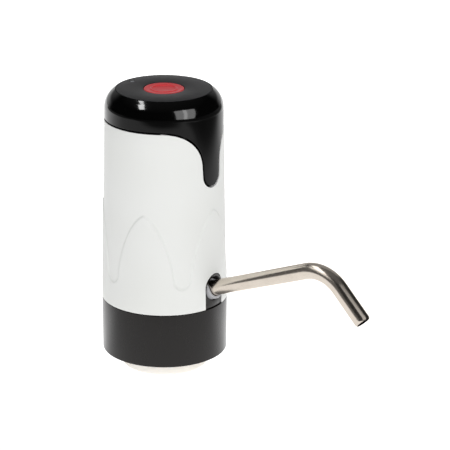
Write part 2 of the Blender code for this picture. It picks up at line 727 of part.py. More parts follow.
# Black base: skirt, deck, upstand, spigot and posts
def base_ring():
    skirt = SHELL_FOOT_RADIUS - SKIRT_REVEAL
    bore = skirt - SKIRT_WALL
    spigot_bore = SPIGOT_RADIUS - SPIGOT_WALL
    profile = [
        (0, DECK), (WELL_RADIUS, DECK), (WELL_RADIUS, SEAM + UPSTAND_RISE),
        (UPSTAND_RADIUS, SEAM + UPSTAND_RISE), (UPSTAND_RADIUS, SEAM), (skirt, SEAM),
        (skirt - SKIRT_DRAFT, SKIRT_FOOT + SKIRT_EDGE),
        (skirt - SKIRT_DRAFT - SKIRT_EDGE, SKIRT_FOOT), (bore + SKIRT_EDGE, SKIRT_FOOT),
        (bore, SKIRT_FOOT + SKIRT_EDGE), (bore, 0), (SPIGOT_RADIUS, 0),
        (SPIGOT_RADIUS, SPIGOT_FOOT), (spigot_bore, SPIGOT_FOOT), (spigot_bore, 0), (0, 0)]
    ring = turned("base_ring", profile, None, "black_matt", FINE)
    gap = ARCH_HALF_WIDTH + CLEARANCE
    cut(ring, block("upstand_gap", (0, -gap, DECK),
                    (UPSTAND_RADIUS + CLEARANCE, gap, SEAM + UPSTAND_RISE + OVERRUN)))
    for n, angle in enumerate(FRAME_POST_ANGLES):
        spot = on_circle(FRAME_POST_CIRCLE, angle)
        join(ring, drum(f"frame_post_{n}", FRAME_POST_RADIUS, DECK / 2, FRAME_POST_TOP, at=spot))
        cut(ring, drum(f"frame_post_hole_{n}", SCREW_RADIUS + CLEARANCE,
                       FRAME_POST_TOP - SCREW_LENGTH, FRAME_POST_TOP + OVERRUN, at=spot))
    top = DECK + SOCKET_POST_HEIGHT
    for side in (-1, 1):
        spot = (EXIT_RADIUS - EAR_INSET, side * EAR_REACH)
        join(ring, drum(f"socket_post_{side}", EAR_RADIUS, DECK / 2, top, at=spot))
        cut(ring, drum(f"socket_post_hole_{side}", SCREW_RADIUS + CLEARANCE,
                       DECK + CLEARANCE, top + OVERRUN, at=spot))
    hole = drum("nipple_hole", NIPPLE_RADIUS + CLEARANCE, -OVERRUN, DECK + OVERRUN, line=PUMP_LINE)
    return cut(ring, hole)


def neck_plug():
    bore = SPIGOT_RADIUS + CLEARANCE
    foot = bore + PLUG_WALL
    head = foot + PLUG_FLARE
    top = -CLEARANCE
    sleeve = top - PLUG_FLANGE
    length = sleeve - PLUG_FOOT
    profile = [(bore, top), (bore + PLUG_FLANGE_WIDTH, top), (bore + PLUG_FLANGE_WIDTH, sleeve),
               (head, sleeve)]
    for share in PLUG_RIB_SHARES:
        z = sleeve - share * length
        wall = head + (foot - head) * share
        profile += [(wall, z), (wall + PLUG_RIB, z - PLUG_RIB_WIDTH / 2), (wall, z - PLUG_RIB_WIDTH)]
    rounded = PLUG_ROUND * cos(pi / 4)
    profile += [
        (foot, PLUG_FOOT + PLUG_ROUND),
        (foot - PLUG_ROUND + rounded, PLUG_FOOT + PLUG_ROUND - rounded),
        (foot - PLUG_ROUND, PLUG_FOOT), (SPIGOT_RADIUS - SPIGOT_WALL, PLUG_FOOT),
        (SPIGOT_RADIUS - SPIGOT_WALL, PLUG_FOOT + SPIGOT_SHORTFALL), (bore, PLUG_FOOT + SPIGOT_SHORTFALL)]
    return turned("neck_plug", profile, None, "silicone_white", FINE)


def inlet_nipple():
    # Flange and cup over the deck, stem through it, barbs for the bottle hose below.
    low = DECK + CLEARANCE
    cup = HEAD_LOW - CLEARANCE
    socket = HEAD_SPIGOT_RADIUS + CLEARANCE
    floor = HEAD_LOW - HEAD_SPIGOT_LENGTH - CLEARANCE
    profile = [(socket, cup), (NIPPLE_FLANGE_RADIUS, cup), (NIPPLE_FLANGE_RADIUS, low), (NIPPLE_RADIUS, low)]
    for share in BARB_SHARES:
        z = -share * NIPPLE_LENGTH
        shoulder = z + BARB_LENGTH
        profile += [(NIPPLE_RADIUS - BARB, shoulder), (NIPPLE_RADIUS, shoulder), (NIPPLE_RADIUS - BARB, z)]
    profile += [(NIPPLE_RADIUS - BARB, -NIPPLE_LENGTH), (NIPPLE_BORE, -NIPPLE_LENGTH),
                (NIPPLE_BORE, floor), (socket, floor)]
    return turned("inlet_nipple", profile, PUMP_LINE, "pump_plastic", COARSE)


# Spout socket: arch insert, inclined socket, ears and hose barb
def spout_socket():
    insert = ARCH_HALF_WIDTH - CLEARANCE
    back = EXIT_RADIUS - ARCH_DEPTH
    arch = slab("spout_socket", arch_outline(insert, SHELL_LOW), back, SHELL_FOOT_RADIUS + OVERRUN,
                None, "black_matt", turn=UPRIGHT)
    face = EXIT_RADIUS - ARCH_SET_BACK
    front = drum("socket_face", face, 0, SEAM + SHELL_HEIGHT, steps=FINE)
    front.rotation_euler.z = pi / FINE
    boolean(arch, front, "INTERSECT")
    reach = shell_inner_radius(EXIT_HEIGHT) - CLEARANCE
    barrel = drum("socket_barrel", SOCKET_RADIUS, SOCKET_FOOT, 0, line=SPOUT_LINE, steps=ROUND)
    boolean(barrel, drum("socket_reach", reach - CLEARANCE, 0, CAP_EDGE, steps=FINE), "INTERSECT")
    ear_low = DECK + SOCKET_POST_HEIGHT + CLEARANCE
    ear_top = ear_low + EAR_THICKNESS
    ear_x = EXIT_RADIUS - EAR_INSET
    web = slab("socket_web", ear_outline(ear_x), ear_low, ear_top)
    barb = drum("socket_barb", SOCKET_BARB_RADIUS, SOCKET_FOOT - SOCKET_BARB_LENGTH,
                SOCKET_FOOT + SOCKET_FLOOR / 2, line=SPOUT_LINE)
    join(arch, barrel, web, barb)
    bore = drum("socket_bore", SOCKET_BORE, SOCKET_BOTTOM, SHELL_FOOT_RADIUS, line=SPOUT_LINE, steps=ROUND)
    passage = drum("socket_passage", PASSAGE_RADIUS, SOCKET_FOOT - SOCKET_BARB_LENGTH - OVERRUN,
                   SOCKET_BOTTOM + OVERRUN, line=SPOUT_LINE)
    holes = [drum(f"socket_ear_hole_{side}", SCREW_RADIUS + CLEARANCE, ear_low - OVERRUN, ear_top + OVERRUN,
                  at=(ear_x, side * EAR_REACH)) for side in (-1, 1)]
    cut(arch, bore, passage, *holes)
    for n, side in enumerate((-1, 1), 1):
        screw(f"socket_screw_{n}", (ear_x, side * EAR_REACH), ear_top + CLEARANCE, False)
    return arch


def ear_outline(x):
    # A long ear with round ends, across the body under the barrel.
    points = []
    for side in (1, -1):
        for k in range(EAR_STEPS + 1):
            t = pi * k / EAR_STEPS
            points.append((x + side * EAR_RADIUS * cos(t), side * (EAR_REACH + EAR_RADIUS * sin(t))))
    return points


def ring_profile(inner, outer, low, high):
    return [(inner, high), (outer, high), (outer, low), (inner, low)]


def spout_pieces():
    bore = TUBE_RADIUS + CLEARANCE
    turned("spout_seal", ring_profile(bore, COLLAR_RADIUS, SEAL_FOOT, COLLAR_FOOT - CLEARANCE),
           SPOUT_LINE, "seal_black")
    turned("spout_collar", [
        (bore, COLLAR_PROUD), (COLLAR_RADIUS - COLLAR_EDGE, COLLAR_PROUD),
        (COLLAR_RADIUS, COLLAR_PROUD - COLLAR_EDGE), (COLLAR_RADIUS, COLLAR_FOOT), (bore, COLLAR_FOOT)],
        SPOUT_LINE, "collar_grey")
    pipe("spout_tube", spout_route(), TUBE_RADIUS, SPOUT_LINE, "spout_steel",
         TUBE_SIDES_RESOLUTION, TUBE_WALL)


def spout_route():
    # In the spout line's frame: straight out along Z, round the bend towards X, straight down.
    bend = SPOUT_RISE_ANGLE + SPOUT_FALL_ANGLE
    tangent = SPOUT_BEND_RADIUS * tan(bend / 2)
    start = SPOUT_REACH - tangent
    route = [(0, 0, TUBE_FOOT)]
    for k in range(SPOUT_BEND_STEPS + 1):
        t = bend * k / SPOUT_BEND_STEPS
        route.append((SPOUT_BEND_RADIUS * (1 - cos(t)), 0, start + SPOUT_BEND_RADIUS * sin(t)))
    route.append((SPOUT_DROP * sin(bend), 0, SPOUT_REACH + SPOUT_DROP * cos(bend)))
    return route


def outlet_hose():
    # From the pump's nozzle level over the deck, then up along the socket's barb.
    out = Vector((cos(SPOUT_RISE_ANGLE), 0, sin(SPOUT_RISE_ANGLE)))
    exit_point = Vector((EXIT_RADIUS, 0, EXIT_HEIGHT))
    drop = (EXIT_HEIGHT - NOZZLE_HEIGHT) / sin(SPOUT_RISE_ANGLE)
    corner = exit_point - out * drop
    seat = exit_point + out * (SOCKET_FOOT - CLEARANCE)
    start = Vector((PUMP_RADIUS - PUMP_OFFSET + CLEARANCE, 0, NOZZLE_HEIGHT))
    tangent = HOSE_RADIUS * sin(SPOUT_RISE_ANGLE)
    route = [start]
    for k in range(HOSE_STEPS + 1):
        t = k / HOSE_STEPS
        before = corner - Vector((tangent, 0, 0)) * (1 - t)
        after = corner + out * tangent * t
        route.append(before.lerp(after, t))
    route.append(seat)
    pipe("outlet_hose", route, HOSE_RADIUS, None, "hose_clear", 3, HOSE_WALL)


# Cap with its drip tongue
def bevel_arc(radius, start, end):
    angles = [start + (end - start) * k / BEVEL_STEPS for k in range(BEVEL_STEPS + 1)]
    return [(BEVEL_CENTRE + radius * sin(t), BEVEL_FOOT + radius * cos(t)) for t in angles]


def top_cap():
    inner_bevel = BEVEL_RADIUS - CAP_WALL
    rise = CAP_DECK_LOW - BEVEL_FOOT
    deck_reach = BEVEL_CENTRE + sqrt(inner_bevel ** 2 - rise ** 2)
    inner_wall = CAP_WAIST - CAP_WALL
    tongue_low = TONGUE_END - OVERRUN
    tongue = cap_radius(tongue_low)
    profile = [(BUTTON_HOLE, CAP_DECK_TOP), (DISC_RADIUS, CAP_DECK_TOP)]
    profile += bevel_arc(BEVEL_RADIUS, BEVEL_LIP_ANGLE, pi / 2 + BEVEL_TUCK)
    profile += [
        (tongue, tongue_low), (tongue - TONGUE_WALL, tongue_low),
        (LIP_RADIUS + CLEARANCE, LIP_FOOT), (LIP_BORE, LIP_FOOT), (LIP_BORE, CAP_EDGE + LIP_RISE),
        (inner_wall, CAP_EDGE + 2 * LIP_RISE), (inner_wall, BEVEL_FOOT),
        ((inner_wall + deck_reach) / 2, BEVEL_FOOT + rise / 2 + CLEARANCE),
        (deck_reach, CAP_DECK_LOW), (BUTTON_HOLE, CAP_DECK_LOW)]
    cap = turned("top_cap", profile, None, "black_gloss", FINE)
    cap.rotation_euler.z = pi / FINE
    around = ring_profile(LIP_RADIUS, SHELL_FOOT_RADIUS + OVERRUN, tongue_low - OVERRUN, CAP_EDGE)
    trim = turned("cap_trim", around, steps=FINE)
    trim.rotation_euler.z = pi / FINE
    cut(trim, slab("cap_drip", drip_outline(0), 0, SHELL_FOOT_RADIUS + 2 * OVERRUN, turn=UPRIGHT))
    hole = SCREW_RADIUS + CLEARANCE
    for n, angle in enumerate(BOARD_POST_ANGLES):
        spot = on_circle(BOARD_POST_CIRCLE, angle)
        join(cap, drum(f"board_post_{n}", BOARD_POST_RADIUS, BOARD_TOP + CLEARANCE,
                       CAP_DECK_LOW + CAP_DECK / 2, at=spot))
        cut(cap, drum(f"board_post_hole_{n}", hole, BOARD_TOP - OVERRUN, CAP_DECK_LOW + CLEARANCE, at=spot))
    half = PORT_WIDTH / 2 + CLEARANCE
    cut(cap, block("port_slot", (-CAP_RADIUS - OVERRUN, -half, PORT_LOW - CLEARANCE),
                   (OVERRUN - LIP_BORE, half, PORT_TOP + CLEARANCE)))
    lens_hole = drum("cap_lens_hole", INDICATOR_RADIUS + CLEARANCE, CAP_DECK_LOW - OVERRUN,
                     CAP_DECK_TOP + OVERRUN, at=(-INDICATOR_OFFSET, 0))
    return cut(cap, lens_hole, trim)


def top_plate():
    plate = turned("top_plate", ring_profile(BUTTON_HOLE, DISC_RADIUS - CLEARANCE, PLATE_LOW, TOP),
                   None, "disc_matt", FINE)
    return cut(plate, drum("plate_lens_hole", INDICATOR_RADIUS + CLEARANCE, PLATE_LOW - OVERRUN,
                           TOP + OVERRUN, at=(-INDICATOR_OFFSET, 0)))


def power_button():
    # Dished top with a raised ring, a skirt with a captive flange, and a stem for the switch.
    ring = BUTTON_RADIUS * BUTTON_RING_SHARE
    inner = ring - BUTTON_RING_WIDTH
    floor = TOP - BUTTON_DISH
    under = floor - BUTTON_SKIN
    skirt_bore = BUTTON_RADIUS - BUTTON_SKIRT_WALL
    profile = [
        (0, floor), (inner, floor), (inner + BUTTON_RING_HEIGHT, floor + BUTTON_RING_HEIGHT),
        (ring - BUTTON_RING_HEIGHT, floor + BUTTON_RING_HEIGHT), (ring, floor),
        (BUTTON_RADIUS - 2 * BUTTON_EDGE, TOP), (BUTTON_RADIUS - BUTTON_EDGE, TOP),
        (BUTTON_RADIUS, TOP - BUTTON_EDGE), (BUTTON_RADIUS, FLANGE_TOP),
        (BUTTON_HOLE + BUTTON_FLANGE_WIDTH, FLANGE_TOP), (BUTTON_HOLE + BUTTON_FLANGE_WIDTH, FLANGE_LOW),
        (skirt_bore, FLANGE_LOW), (skirt_bore, under), (BUTTON_STEM_RADIUS, under),
        (BUTTON_STEM_RADIUS, STEM_LOW), (0, STEM_LOW)]
    turned("power_button", profile, None, "button_red", 2 * COARSE)


# Switch, board, port and indicator
def board_pieces():
    drum("switch_plunger", PLUNGER_RADIUS, PLUNGER_LOW, PLUNGER_TOP, None, "inner_plastic")
    half = SWITCH_WIDTH / 2
    switch = block("switch_body", (-half, -half, SWITCH_LOW), (half, half, SWITCH_TOP), None, "inner_plastic")
    cut(switch, drum("switch_pocket", PLUNGER_RADIUS + CLEARANCE, SWITCH_POCKET, SWITCH_TOP + OVERRUN))
    board = drum("circuit_board", BOARD_RADIUS, BOARD_LOW, BOARD_TOP, None, "board_green", steps=2 * COARSE)
    for n, angle in enumerate(BOARD_POST_ANGLES, 1):
        spot = on_circle(BOARD_POST_CIRCLE, angle)
        cut(board, drum(f"board_hole_{n}", SCREW_RADIUS + CLEARANCE, BOARD_LOW - OVERRUN,
                        BOARD_TOP + OVERRUN, at=spot))
        screw(f"board_screw_{n}", spot, BOARD_LOW - CLEARANCE - SCREW_HEAD_HEIGHT, True)
    port = block("usb_port", (-PORT_MOUTH, -PORT_WIDTH / 2, PORT_LOW),
                 (-PORT_MOUTH + PORT_LENGTH, PORT_WIDTH / 2, PORT_TOP), None, "nickel")
    mouth = PORT_WIDTH / 2 - PORT_WALL
    cut(port, block("port_mouth", (-PORT_MOUTH - OVERRUN, -mouth, PORT_LOW + PORT_WALL),
                    (-PORT_MOUTH + PORT_LENGTH - PORT_WALL, mouth, PORT_TOP - PORT_WALL)))
    led_top = BOARD_TOP + CLEARANCE + LED_HEIGHT
    block("indicator_led", (-INDICATOR_OFFSET - LED_WIDTH / 2, -LED_LENGTH / 2, BOARD_TOP + CLEARANCE),
          (-INDICATOR_OFFSET + LED_WIDTH / 2, LED_LENGTH / 2, led_top), None, "clear_lens")
    under = CAP_DECK_LOW - CLEARANCE
    wide = INDICATOR_RADIUS + CLEARANCE + INDICATOR_FLANGE
    lens = turned("indicator_lens", [
        (0, TOP), (INDICATOR_RADIUS, TOP), (INDICATOR_RADIUS, under), (wide, under),
        (wide, under - INDICATOR_FLANGE), (INDICATOR_RADIUS, under - INDICATOR_FLANGE),
        (INDICATOR_RADIUS, led_top + CLEARANCE), (0, led_top + CLEARANCE)], None, "clear_lens", COARSE)
    lens.location.x = -INDICATOR_OFFSET


# Pump stack
def pump_head():
    chamber = HEAD_TOP - HEAD_CHAMBER_DEPTH
    wall = HEAD_INLET_RADIUS + HEAD_INLET_WALL
    outlet = wall + HEAD_OUTLET_WALL
    foot = HEAD_LOW - HEAD_SPIGOT_LENGTH
    head = turned("pump_head", [
        (HEAD_INLET_RADIUS, HEAD_TOP), (wall, HEAD_TOP), (wall, chamber), (outlet, chamber),
        (outlet, HEAD_TOP), (PUMP_RADIUS, HEAD_TOP), (PUMP_RADIUS, HEAD_LOW),
        (HEAD_SPIGOT_RADIUS, HEAD_LOW), (HEAD_SPIGOT_RADIUS, foot), (PASSAGE_RADIUS, foot),
        (PASSAGE_RADIUS, chamber), (HEAD_INLET_RADIUS, chamber)], PUMP_LINE, "pump_plastic")
    sideways = Matrix.Translation((0, 0, NOZZLE_HEIGHT)) @ Matrix.Rotation(pi / 2, 4, "Y")
    tip = PUMP_RADIUS + NOZZLE_LENGTH
    join(head, drum("head_nozzle", SOCKET_BARB_RADIUS, outlet, tip, line=PUMP_LINE, turn=sideways))
    middle = (wall + outlet) / 2
    cut(head, drum("head_nozzle_bore", PASSAGE_RADIUS, middle, tip + OVERRUN, line=PUMP_LINE, turn=sideways))
    cut(head, drum("head_riser", PASSAGE_RADIUS, NOZZLE_HEIGHT, chamber + OVERRUN,
                   line=PUMP_LINE, at=(middle, 0)))
    return head


def pump_screw_spots():
    return [on_circle(PUMP_SCREW_CIRCLE, angle) for angle in even_angles(LOBE_COUNT, pi / LOBE_COUNT)]


def pump_stack():
    head = pump_head()
    valve = turned("valve_plate", ring_profile(VALVE_HOLE_RADIUS, PUMP_RADIUS, VALVE_LOW, VALVE_TOP),
                   PUMP_LINE, "pump_plastic")
    lobes = [on_circle(LOBE_CIRCLE, angle) for angle in even_angles(LOBE_COUNT)]
    for n, spot in enumerate(lobes):
        cut(valve, drum(f"valve_port_{n}", VALVE_HOLE_RADIUS, VALVE_LOW - OVERRUN, VALVE_TOP + OVERRUN,
                        line=PUMP_LINE, at=spot))
    disc_top = VALVE_LOW - CLEARANCE
    turned("check_valve", [
        (0, VALVE_TOP - CLEARANCE), (VALVE_STEM_RADIUS, VALVE_TOP - CLEARANCE), (VALVE_STEM_RADIUS, disc_top),
        (VALVE_RADIUS, disc_top), (VALVE_RADIUS, disc_top - VALVE_DISC), (0, disc_top - VALVE_DISC)],
        PUMP_LINE, "seal_black", COARSE)
    diaphragm = drum("pump_diaphragm", PUMP_RADIUS, DIAPHRAGM_LOW, DIAPHRAGM_TOP,
                     PUMP_LINE, "seal_black", steps=ROUND)
    shoulder = CUP_RADIUS - CUP_SKIN
    for n, (x, y) in enumerate(lobes):
        cup = turned(f"diaphragm_cup_{n}", [
            (0, STUB_TOP), (STUB_RADIUS, STUB_TOP), (STUB_RADIUS, CUP_TOP), (shoulder, CUP_TOP),
            (CUP_RADIUS, CUP_TOP - CUP_SKIN), (CUP_RADIUS, DIAPHRAGM_LOW + DIAPHRAGM / 2),
            (0, DIAPHRAGM_LOW + DIAPHRAGM / 2)], PUMP_LINE, steps=COARSE)
        cup.location = (x, y, 0)
        join(diaphragm, cup)
        cut(diaphragm, drum(f"diaphragm_hollow_{n}", shoulder, DIAPHRAGM_LOW - OVERRUN, CUP_TOP - CUP_SKIN,
                            line=PUMP_LINE, at=(x, y)))
    boss = MOTOR_BOSS_RADIUS + CLEARANCE
    housing = turned("pump_body", [
        (boss, HOUSING_TOP), (PUMP_RADIUS, HOUSING_TOP), (PUMP_RADIUS, HOUSING_LOW),
        (CHAMBER_RADIUS, HOUSING_LOW), (CHAMBER_RADIUS, HOUSING_ROOF), (boss, HOUSING_ROOF)],
        PUMP_LINE, "pump_plastic")
    clear = SCREW_RADIUS + CLEARANCE
    for n, spot in enumerate(pump_screw_spots(), 1):
        hole = drum(f"pump_screw_hole_{n}", clear, HEAD_LOW - OVERRUN,
                    HOUSING_LOW + PUMP_SCREW_REACH, line=PUMP_LINE, at=spot)
        for piece in (head, valve, diaphragm, housing):
            cut(piece, hole)
        pump_screw(f"pump_screw_{n}", spot)
    inner = NIPPLE_FLANGE_RADIUS + CLEARANCE
    turned("pump_damper", ring_profile(inner, inner + DAMPER_WALL, DAMPER_LOW, DAMPER_TOP),
           PUMP_LINE, "seal_black")


def pump_screw(name, spot):
    # A long screw up through the head, valve plate and diaphragm into the housing.
    head_top = HEAD_LOW - CLEARANCE
    tip = HOUSING_LOW + PUMP_SCREW_REACH - CLEARANCE
    obj = turned(name, [
        (0, tip), (SCREW_RADIUS, tip), (SCREW_RADIUS, head_top), (SCREW_HEAD_RADIUS, head_top),
        (SCREW_HEAD_RADIUS, head_top - SCREW_HEAD_HEIGHT), (0, head_top - SCREW_HEAD_HEIGHT)],
        PUMP_LINE, "screw_steel", COARSE)
    obj.location = (*spot, 0)


def wobble_plate():
    # A three-lobed plate on the tilted line, with a pin that sits in the cam.
    outline = []
    for angle in even_angles(WOBBLE_STEPS):
        lobe = (1 + cos(LOBE_COUNT * angle)) / 2
        radius = WOBBLE_REACH * (WOBBLE_WAIST_SHARE + (1 - WOBBLE_WAIST_SHARE) * lobe)
        outline.append(on_circle(radius, angle))
    half = WOBBLE_THICKNESS / 2
    plate = slab("wobble_plate", outline, -half, half, WOBBLE_LINE, "pump_plastic")
    join(plate, drum("wobble_hub", WOBBLE_HUB_RADIUS, 0, WOBBLE_TOP, line=WOBBLE_LINE))
    join(plate, drum("wobble_pin", WOBBLE_PIN_RADIUS, half, WOBBLE_TOP + WOBBLE_PIN_REACH, line=WOBBLE_LINE))
    for n, angle in enumerate(even_angles(LOBE_COUNT)):
        cut(plate, drum(f"wobble_hole_{n}", WOBBLE_HOLE_RADIUS, -half - OVERRUN, half + OVERRUN,
                        line=WOBBLE_LINE, at=on_circle(LOBE_CIRCLE, angle)))
    return plate


# Motor with its turning pieces
def motor():
    cam = drum("eccentric_cam", CAM_RADIUS, CAM_LOW, CAM_TOP, PUMP_LINE, "pump_plastic")
    seat_top = WOBBLE_TOP + WOBBLE_PIN_REACH + CLEARANCE
    cut(cam, drum("cam_pin_hole", WOBBLE_PIN_RADIUS + CLEARANCE, 0, seat_top, line=WOBBLE_LINE))
    shaft_hole = SHAFT_RADIUS + CLEARANCE
    cut(cam, drum("cam_shaft_hole", shaft_hole, SHAFT_LOW - CLEARANCE, CAM_TOP + OVERRUN, line=PUMP_LINE))
    drum("motor_shaft", SHAFT_RADIUS, SHAFT_LOW, SHAFT_TOP, PUMP_LINE, "screw_steel")
    rotor_low = MOTOR_LOW + MOTOR_WALL + ROTOR_INSET
    rotor_top = rotor_low + ROTOR_LENGTH
    turned("motor_rotor", ring_profile(shaft_hole, ROTOR_RADIUS, rotor_low, rotor_top),
           PUMP_LINE, "copper", COARSE)
    turned("commutator", ring_profile(shaft_hole, COMMUTATOR_RADIUS, rotor_top + CLEARANCE,
                                      rotor_top + CLEARANCE + COMMUTATOR_LENGTH), PUMP_LINE, "copper", COARSE)
    bore = MOTOR_RADIUS - MOTOR_WALL
    floor = MOTOR_LOW + MOTOR_WALL
    boss_low = MOTOR_LOW - MOTOR_BOSS_LENGTH
    turned("motor_can", [
        (bore, MOTOR_TOP), (MOTOR_RADIUS, MOTOR_TOP), (MOTOR_RADIUS, MOTOR_LOW),
        (MOTOR_BOSS_RADIUS, MOTOR_LOW), (MOTOR_BOSS_RADIUS, boss_low), (shaft_hole, boss_low),
        (shaft_hole, floor), (bore, floor)],
        PUMP_LINE, "motor_steel")
    magnet = bore - CLEARANCE
    low, high = floor + MAGNET_INSET, rotor_top
    for name, side in (("motor_magnet_left", 1), ("motor_magnet_right", -1)):
        ring = turned(name, ring_profile(magnet - MAGNET_THICKNESS, magnet, low, high),
                      PUMP_LINE, "magnet_grey", COARSE)
        near, far = side * MAGNET_INSET, side * (magnet + OVERRUN)
        keep = block(f"{name}_keep", (-magnet - OVERRUN, min(near, far), low - OVERRUN),
                     (magnet + OVERRUN, max(near, far), high + OVERRUN), PUMP_LINE)
        boolean(ring, keep, "INTERSECT")
    boss_top = END_CAP_TOP + END_BOSS
    turned("motor_end_cap", [
        (0, boss_top), (MOTOR_BOSS_RADIUS, boss_top), (MOTOR_BOSS_RADIUS, END_CAP_TOP),
        (MOTOR_RADIUS, END_CAP_TOP), (MOTOR_RADIUS, END_CAP_LOW), (shaft_hole, END_CAP_LOW),
        (shaft_hole, SHAFT_TOP + CLEARANCE), (0, SHAFT_TOP + CLEARANCE)], PUMP_LINE, "pump_plastic")
    low = END_CAP_TOP + CLEARANCE
    for name, side in (("motor_terminal_left", 1), ("motor_terminal_right", -1)):
        y = side * TERMINAL_OFFSET
        block(name, (-TERMINAL_WIDTH / 2, y - TERMINAL_THICKNESS / 2, low),
              (TERMINAL_WIDTH / 2, y + TERMINAL_THICKNESS / 2, low + TERMINAL_HEIGHT), PUMP_LINE, "nickel")


# Cell, cradle, frame and wires
def cell_spot():
    return Vector((*on_circle(CELL_CIRCLE, CELL_ANGLE), 0))


def lead_reach():
    # How far the lower tab sticks out of the cradle's slot, towards the body's axis.
    return CRADLE_RADIUS + TAB_OVERHANG


def cell_pieces():
    inner = CELL_RADIUS + CLEARANCE
    floor = CRADLE_LOW + CRADLE_FLOOR
    wall_top = CRADLE_LOW + CRADLE_HEIGHT
    cradle = turned("battery_cradle", [
        (0, floor), (inner, floor), (inner, wall_top), (CRADLE_RADIUS, wall_top),
        (CRADLE_RADIUS, CRADLE_LOW), (0, CRADLE_LOW)], CELL_LINE, "inner_plastic")
    inward = Matrix.Rotation(CELL_ANGLE + pi, 4, "Z")
    slot = (CRADLE_RADIUS + OVERRUN, CRADLE_SLOT / 2, wall_top + OVERRUN)
    cut(cradle, block("cradle_slot", (0, -CRADLE_SLOT / 2, floor), slot, CELL_LINE, turn=inward))
    nub = CELL_TOP + CELL_NUB_HEIGHT
    turned("battery_cell", [
        (0, nub), (CELL_NUB_RADIUS, nub), (CELL_NUB_RADIUS, CELL_TOP), (CELL_RADIUS, CELL_TOP),
        (CELL_RADIUS, CELL_LOW), (0, CELL_LOW)], CELL_LINE, "cell_wrap")
    block("battery_tab_bottom", (-TAB_WIDTH, -TAB_WIDTH / 2, TAB_LOW),
          (lead_reach(), TAB_WIDTH / 2, TAB_LOW + TAB_THICKNESS), CELL_LINE, "nickel", turn=inward)
    block("battery_tab_top", (-TAB_WIDTH, -TAB_WIDTH / 2, TAB_TOP_LOW),
          (TAB_WIDTH, TAB_WIDTH / 2, TAB_TOP_LOW + TAB_THICKNESS), CELL_LINE, "nickel", turn=inward)


def mid_frame():
    radius = shell_inner_radius(FRAME_TOP) - CLEARANCE
    frame = drum("mid_frame", radius, FRAME_LOW, FRAME_TOP, None, "inner_plastic", steps=2 * COARSE)
    below, above = FRAME_LOW - OVERRUN, FRAME_TOP + OVERRUN
    cut(frame, drum("frame_motor_hole", MOTOR_RADIUS + CLEARANCE, below, above, line=PUMP_LINE, steps=ROUND))
    cut(frame, drum("frame_cell_hole", CELL_RADIUS + CLEARANCE, below, above, line=CELL_LINE, steps=ROUND))
    inward = Matrix.Rotation(CELL_ANGLE + pi, 4, "Z")
    cut(frame, drum("frame_wire_hole", WIRE_HOLE_RADIUS, below, above, line=CELL_LINE,
                    turn=inward, at=(lead_reach() - WIRE_RADIUS, 0)))
    for n, angle in enumerate(FRAME_POST_ANGLES, 1):
        spot = on_circle(FRAME_POST_CIRCLE, angle)
        cut(frame, drum(f"frame_screw_hole_{n}", SCREW_RADIUS + CLEARANCE, below, above, at=spot))
        short_screw(f"frame_screw_{n}", spot)
    return frame


def short_screw(name, spot):
    # A frame screw: its shank ends above the bottom of the post's hole.
    head_low = FRAME_TOP + CLEARANCE
    tip = FRAME_POST_TOP - SCREW_LENGTH + CLEARANCE
    obj = turned(name, [
        (0, head_low + SCREW_HEAD_HEIGHT), (SCREW_HEAD_RADIUS, head_low + SCREW_HEAD_HEIGHT),
        (SCREW_HEAD_RADIUS, head_low), (SCREW_RADIUS, head_low), (SCREW_RADIUS, tip), (0, tip)],
        None, "screw_steel", COARSE)
    obj.location = (*spot, 0)


def wire(name, start, end, finish):
    # An S-shaped lead that leaves and arrives upright.
    start, end = Vector(start), Vector(end)
    route = []
    for k in range(WIRE_STEPS + 1):
        t = k / WIRE_STEPS
        ease = t * t * (3 - 2 * t)
        route.append((start.x + (end.x - start.x) * ease, start.y + (end.y - start.y) * ease,
                      start.z + (end.z - start.z) * t))
    return pipe(name, route, WIRE_RADIUS, None, finish)


def wires():
    board = BOARD_LOW - CLEARANCE
    spot = cell_spot()
    inward = -spot.normalized()
    tab = spot + inward * (lead_reach() - WIRE_RADIUS)
    low = TAB_LOW + TAB_THICKNESS + CLEARANCE
    top = TAB_TOP_LOW + TAB_THICKNESS + CLEARANCE
    wire("battery_wire_red", (spot.x, spot.y, top), (spot.x, spot.y + CELL_RADIUS, board), "wire_red")
    pipe("battery_wire_black", [(tab.x, tab.y, low), (tab.x, tab.y, CELL_TOP), (tab.x, tab.y, board)],
         WIRE_RADIUS, None, "wire_black")
    contact = END_CAP_TOP + CLEARANCE + TERMINAL_HEIGHT + CLEARANCE
    for name, side, finish in (("motor_wire_red", 1, "wire_red"), ("motor_wire_black", -1, "wire_black")):
        y = side * TERMINAL_OFFSET
        wire(name, (-PUMP_OFFSET, y, contact), (-PUMP_OFFSET + MOTOR_RADIUS / 2, y, board), finish)


body_shell()
base_ring()
neck_plug()
inlet_nipple()
spout_socket()
spout_pieces()
outlet_hose()
top_cap()
top_plate()
power_button()
board_pieces()
pump_stack()
wobble_plate()
motor()
cell_pieces()
mid_frame()
wires()
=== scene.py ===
# Looks of the bottled water pump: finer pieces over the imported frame, their finishes, the
# floor, the light and the camera. Metres, in the frame's own axes, with the spout along +X.
import json
from math import acos, asin, atan2, cos, hypot, pi, radians, sin, sqrt, tan

import bmesh
import bpy
from mathutils import Matrix, Vector


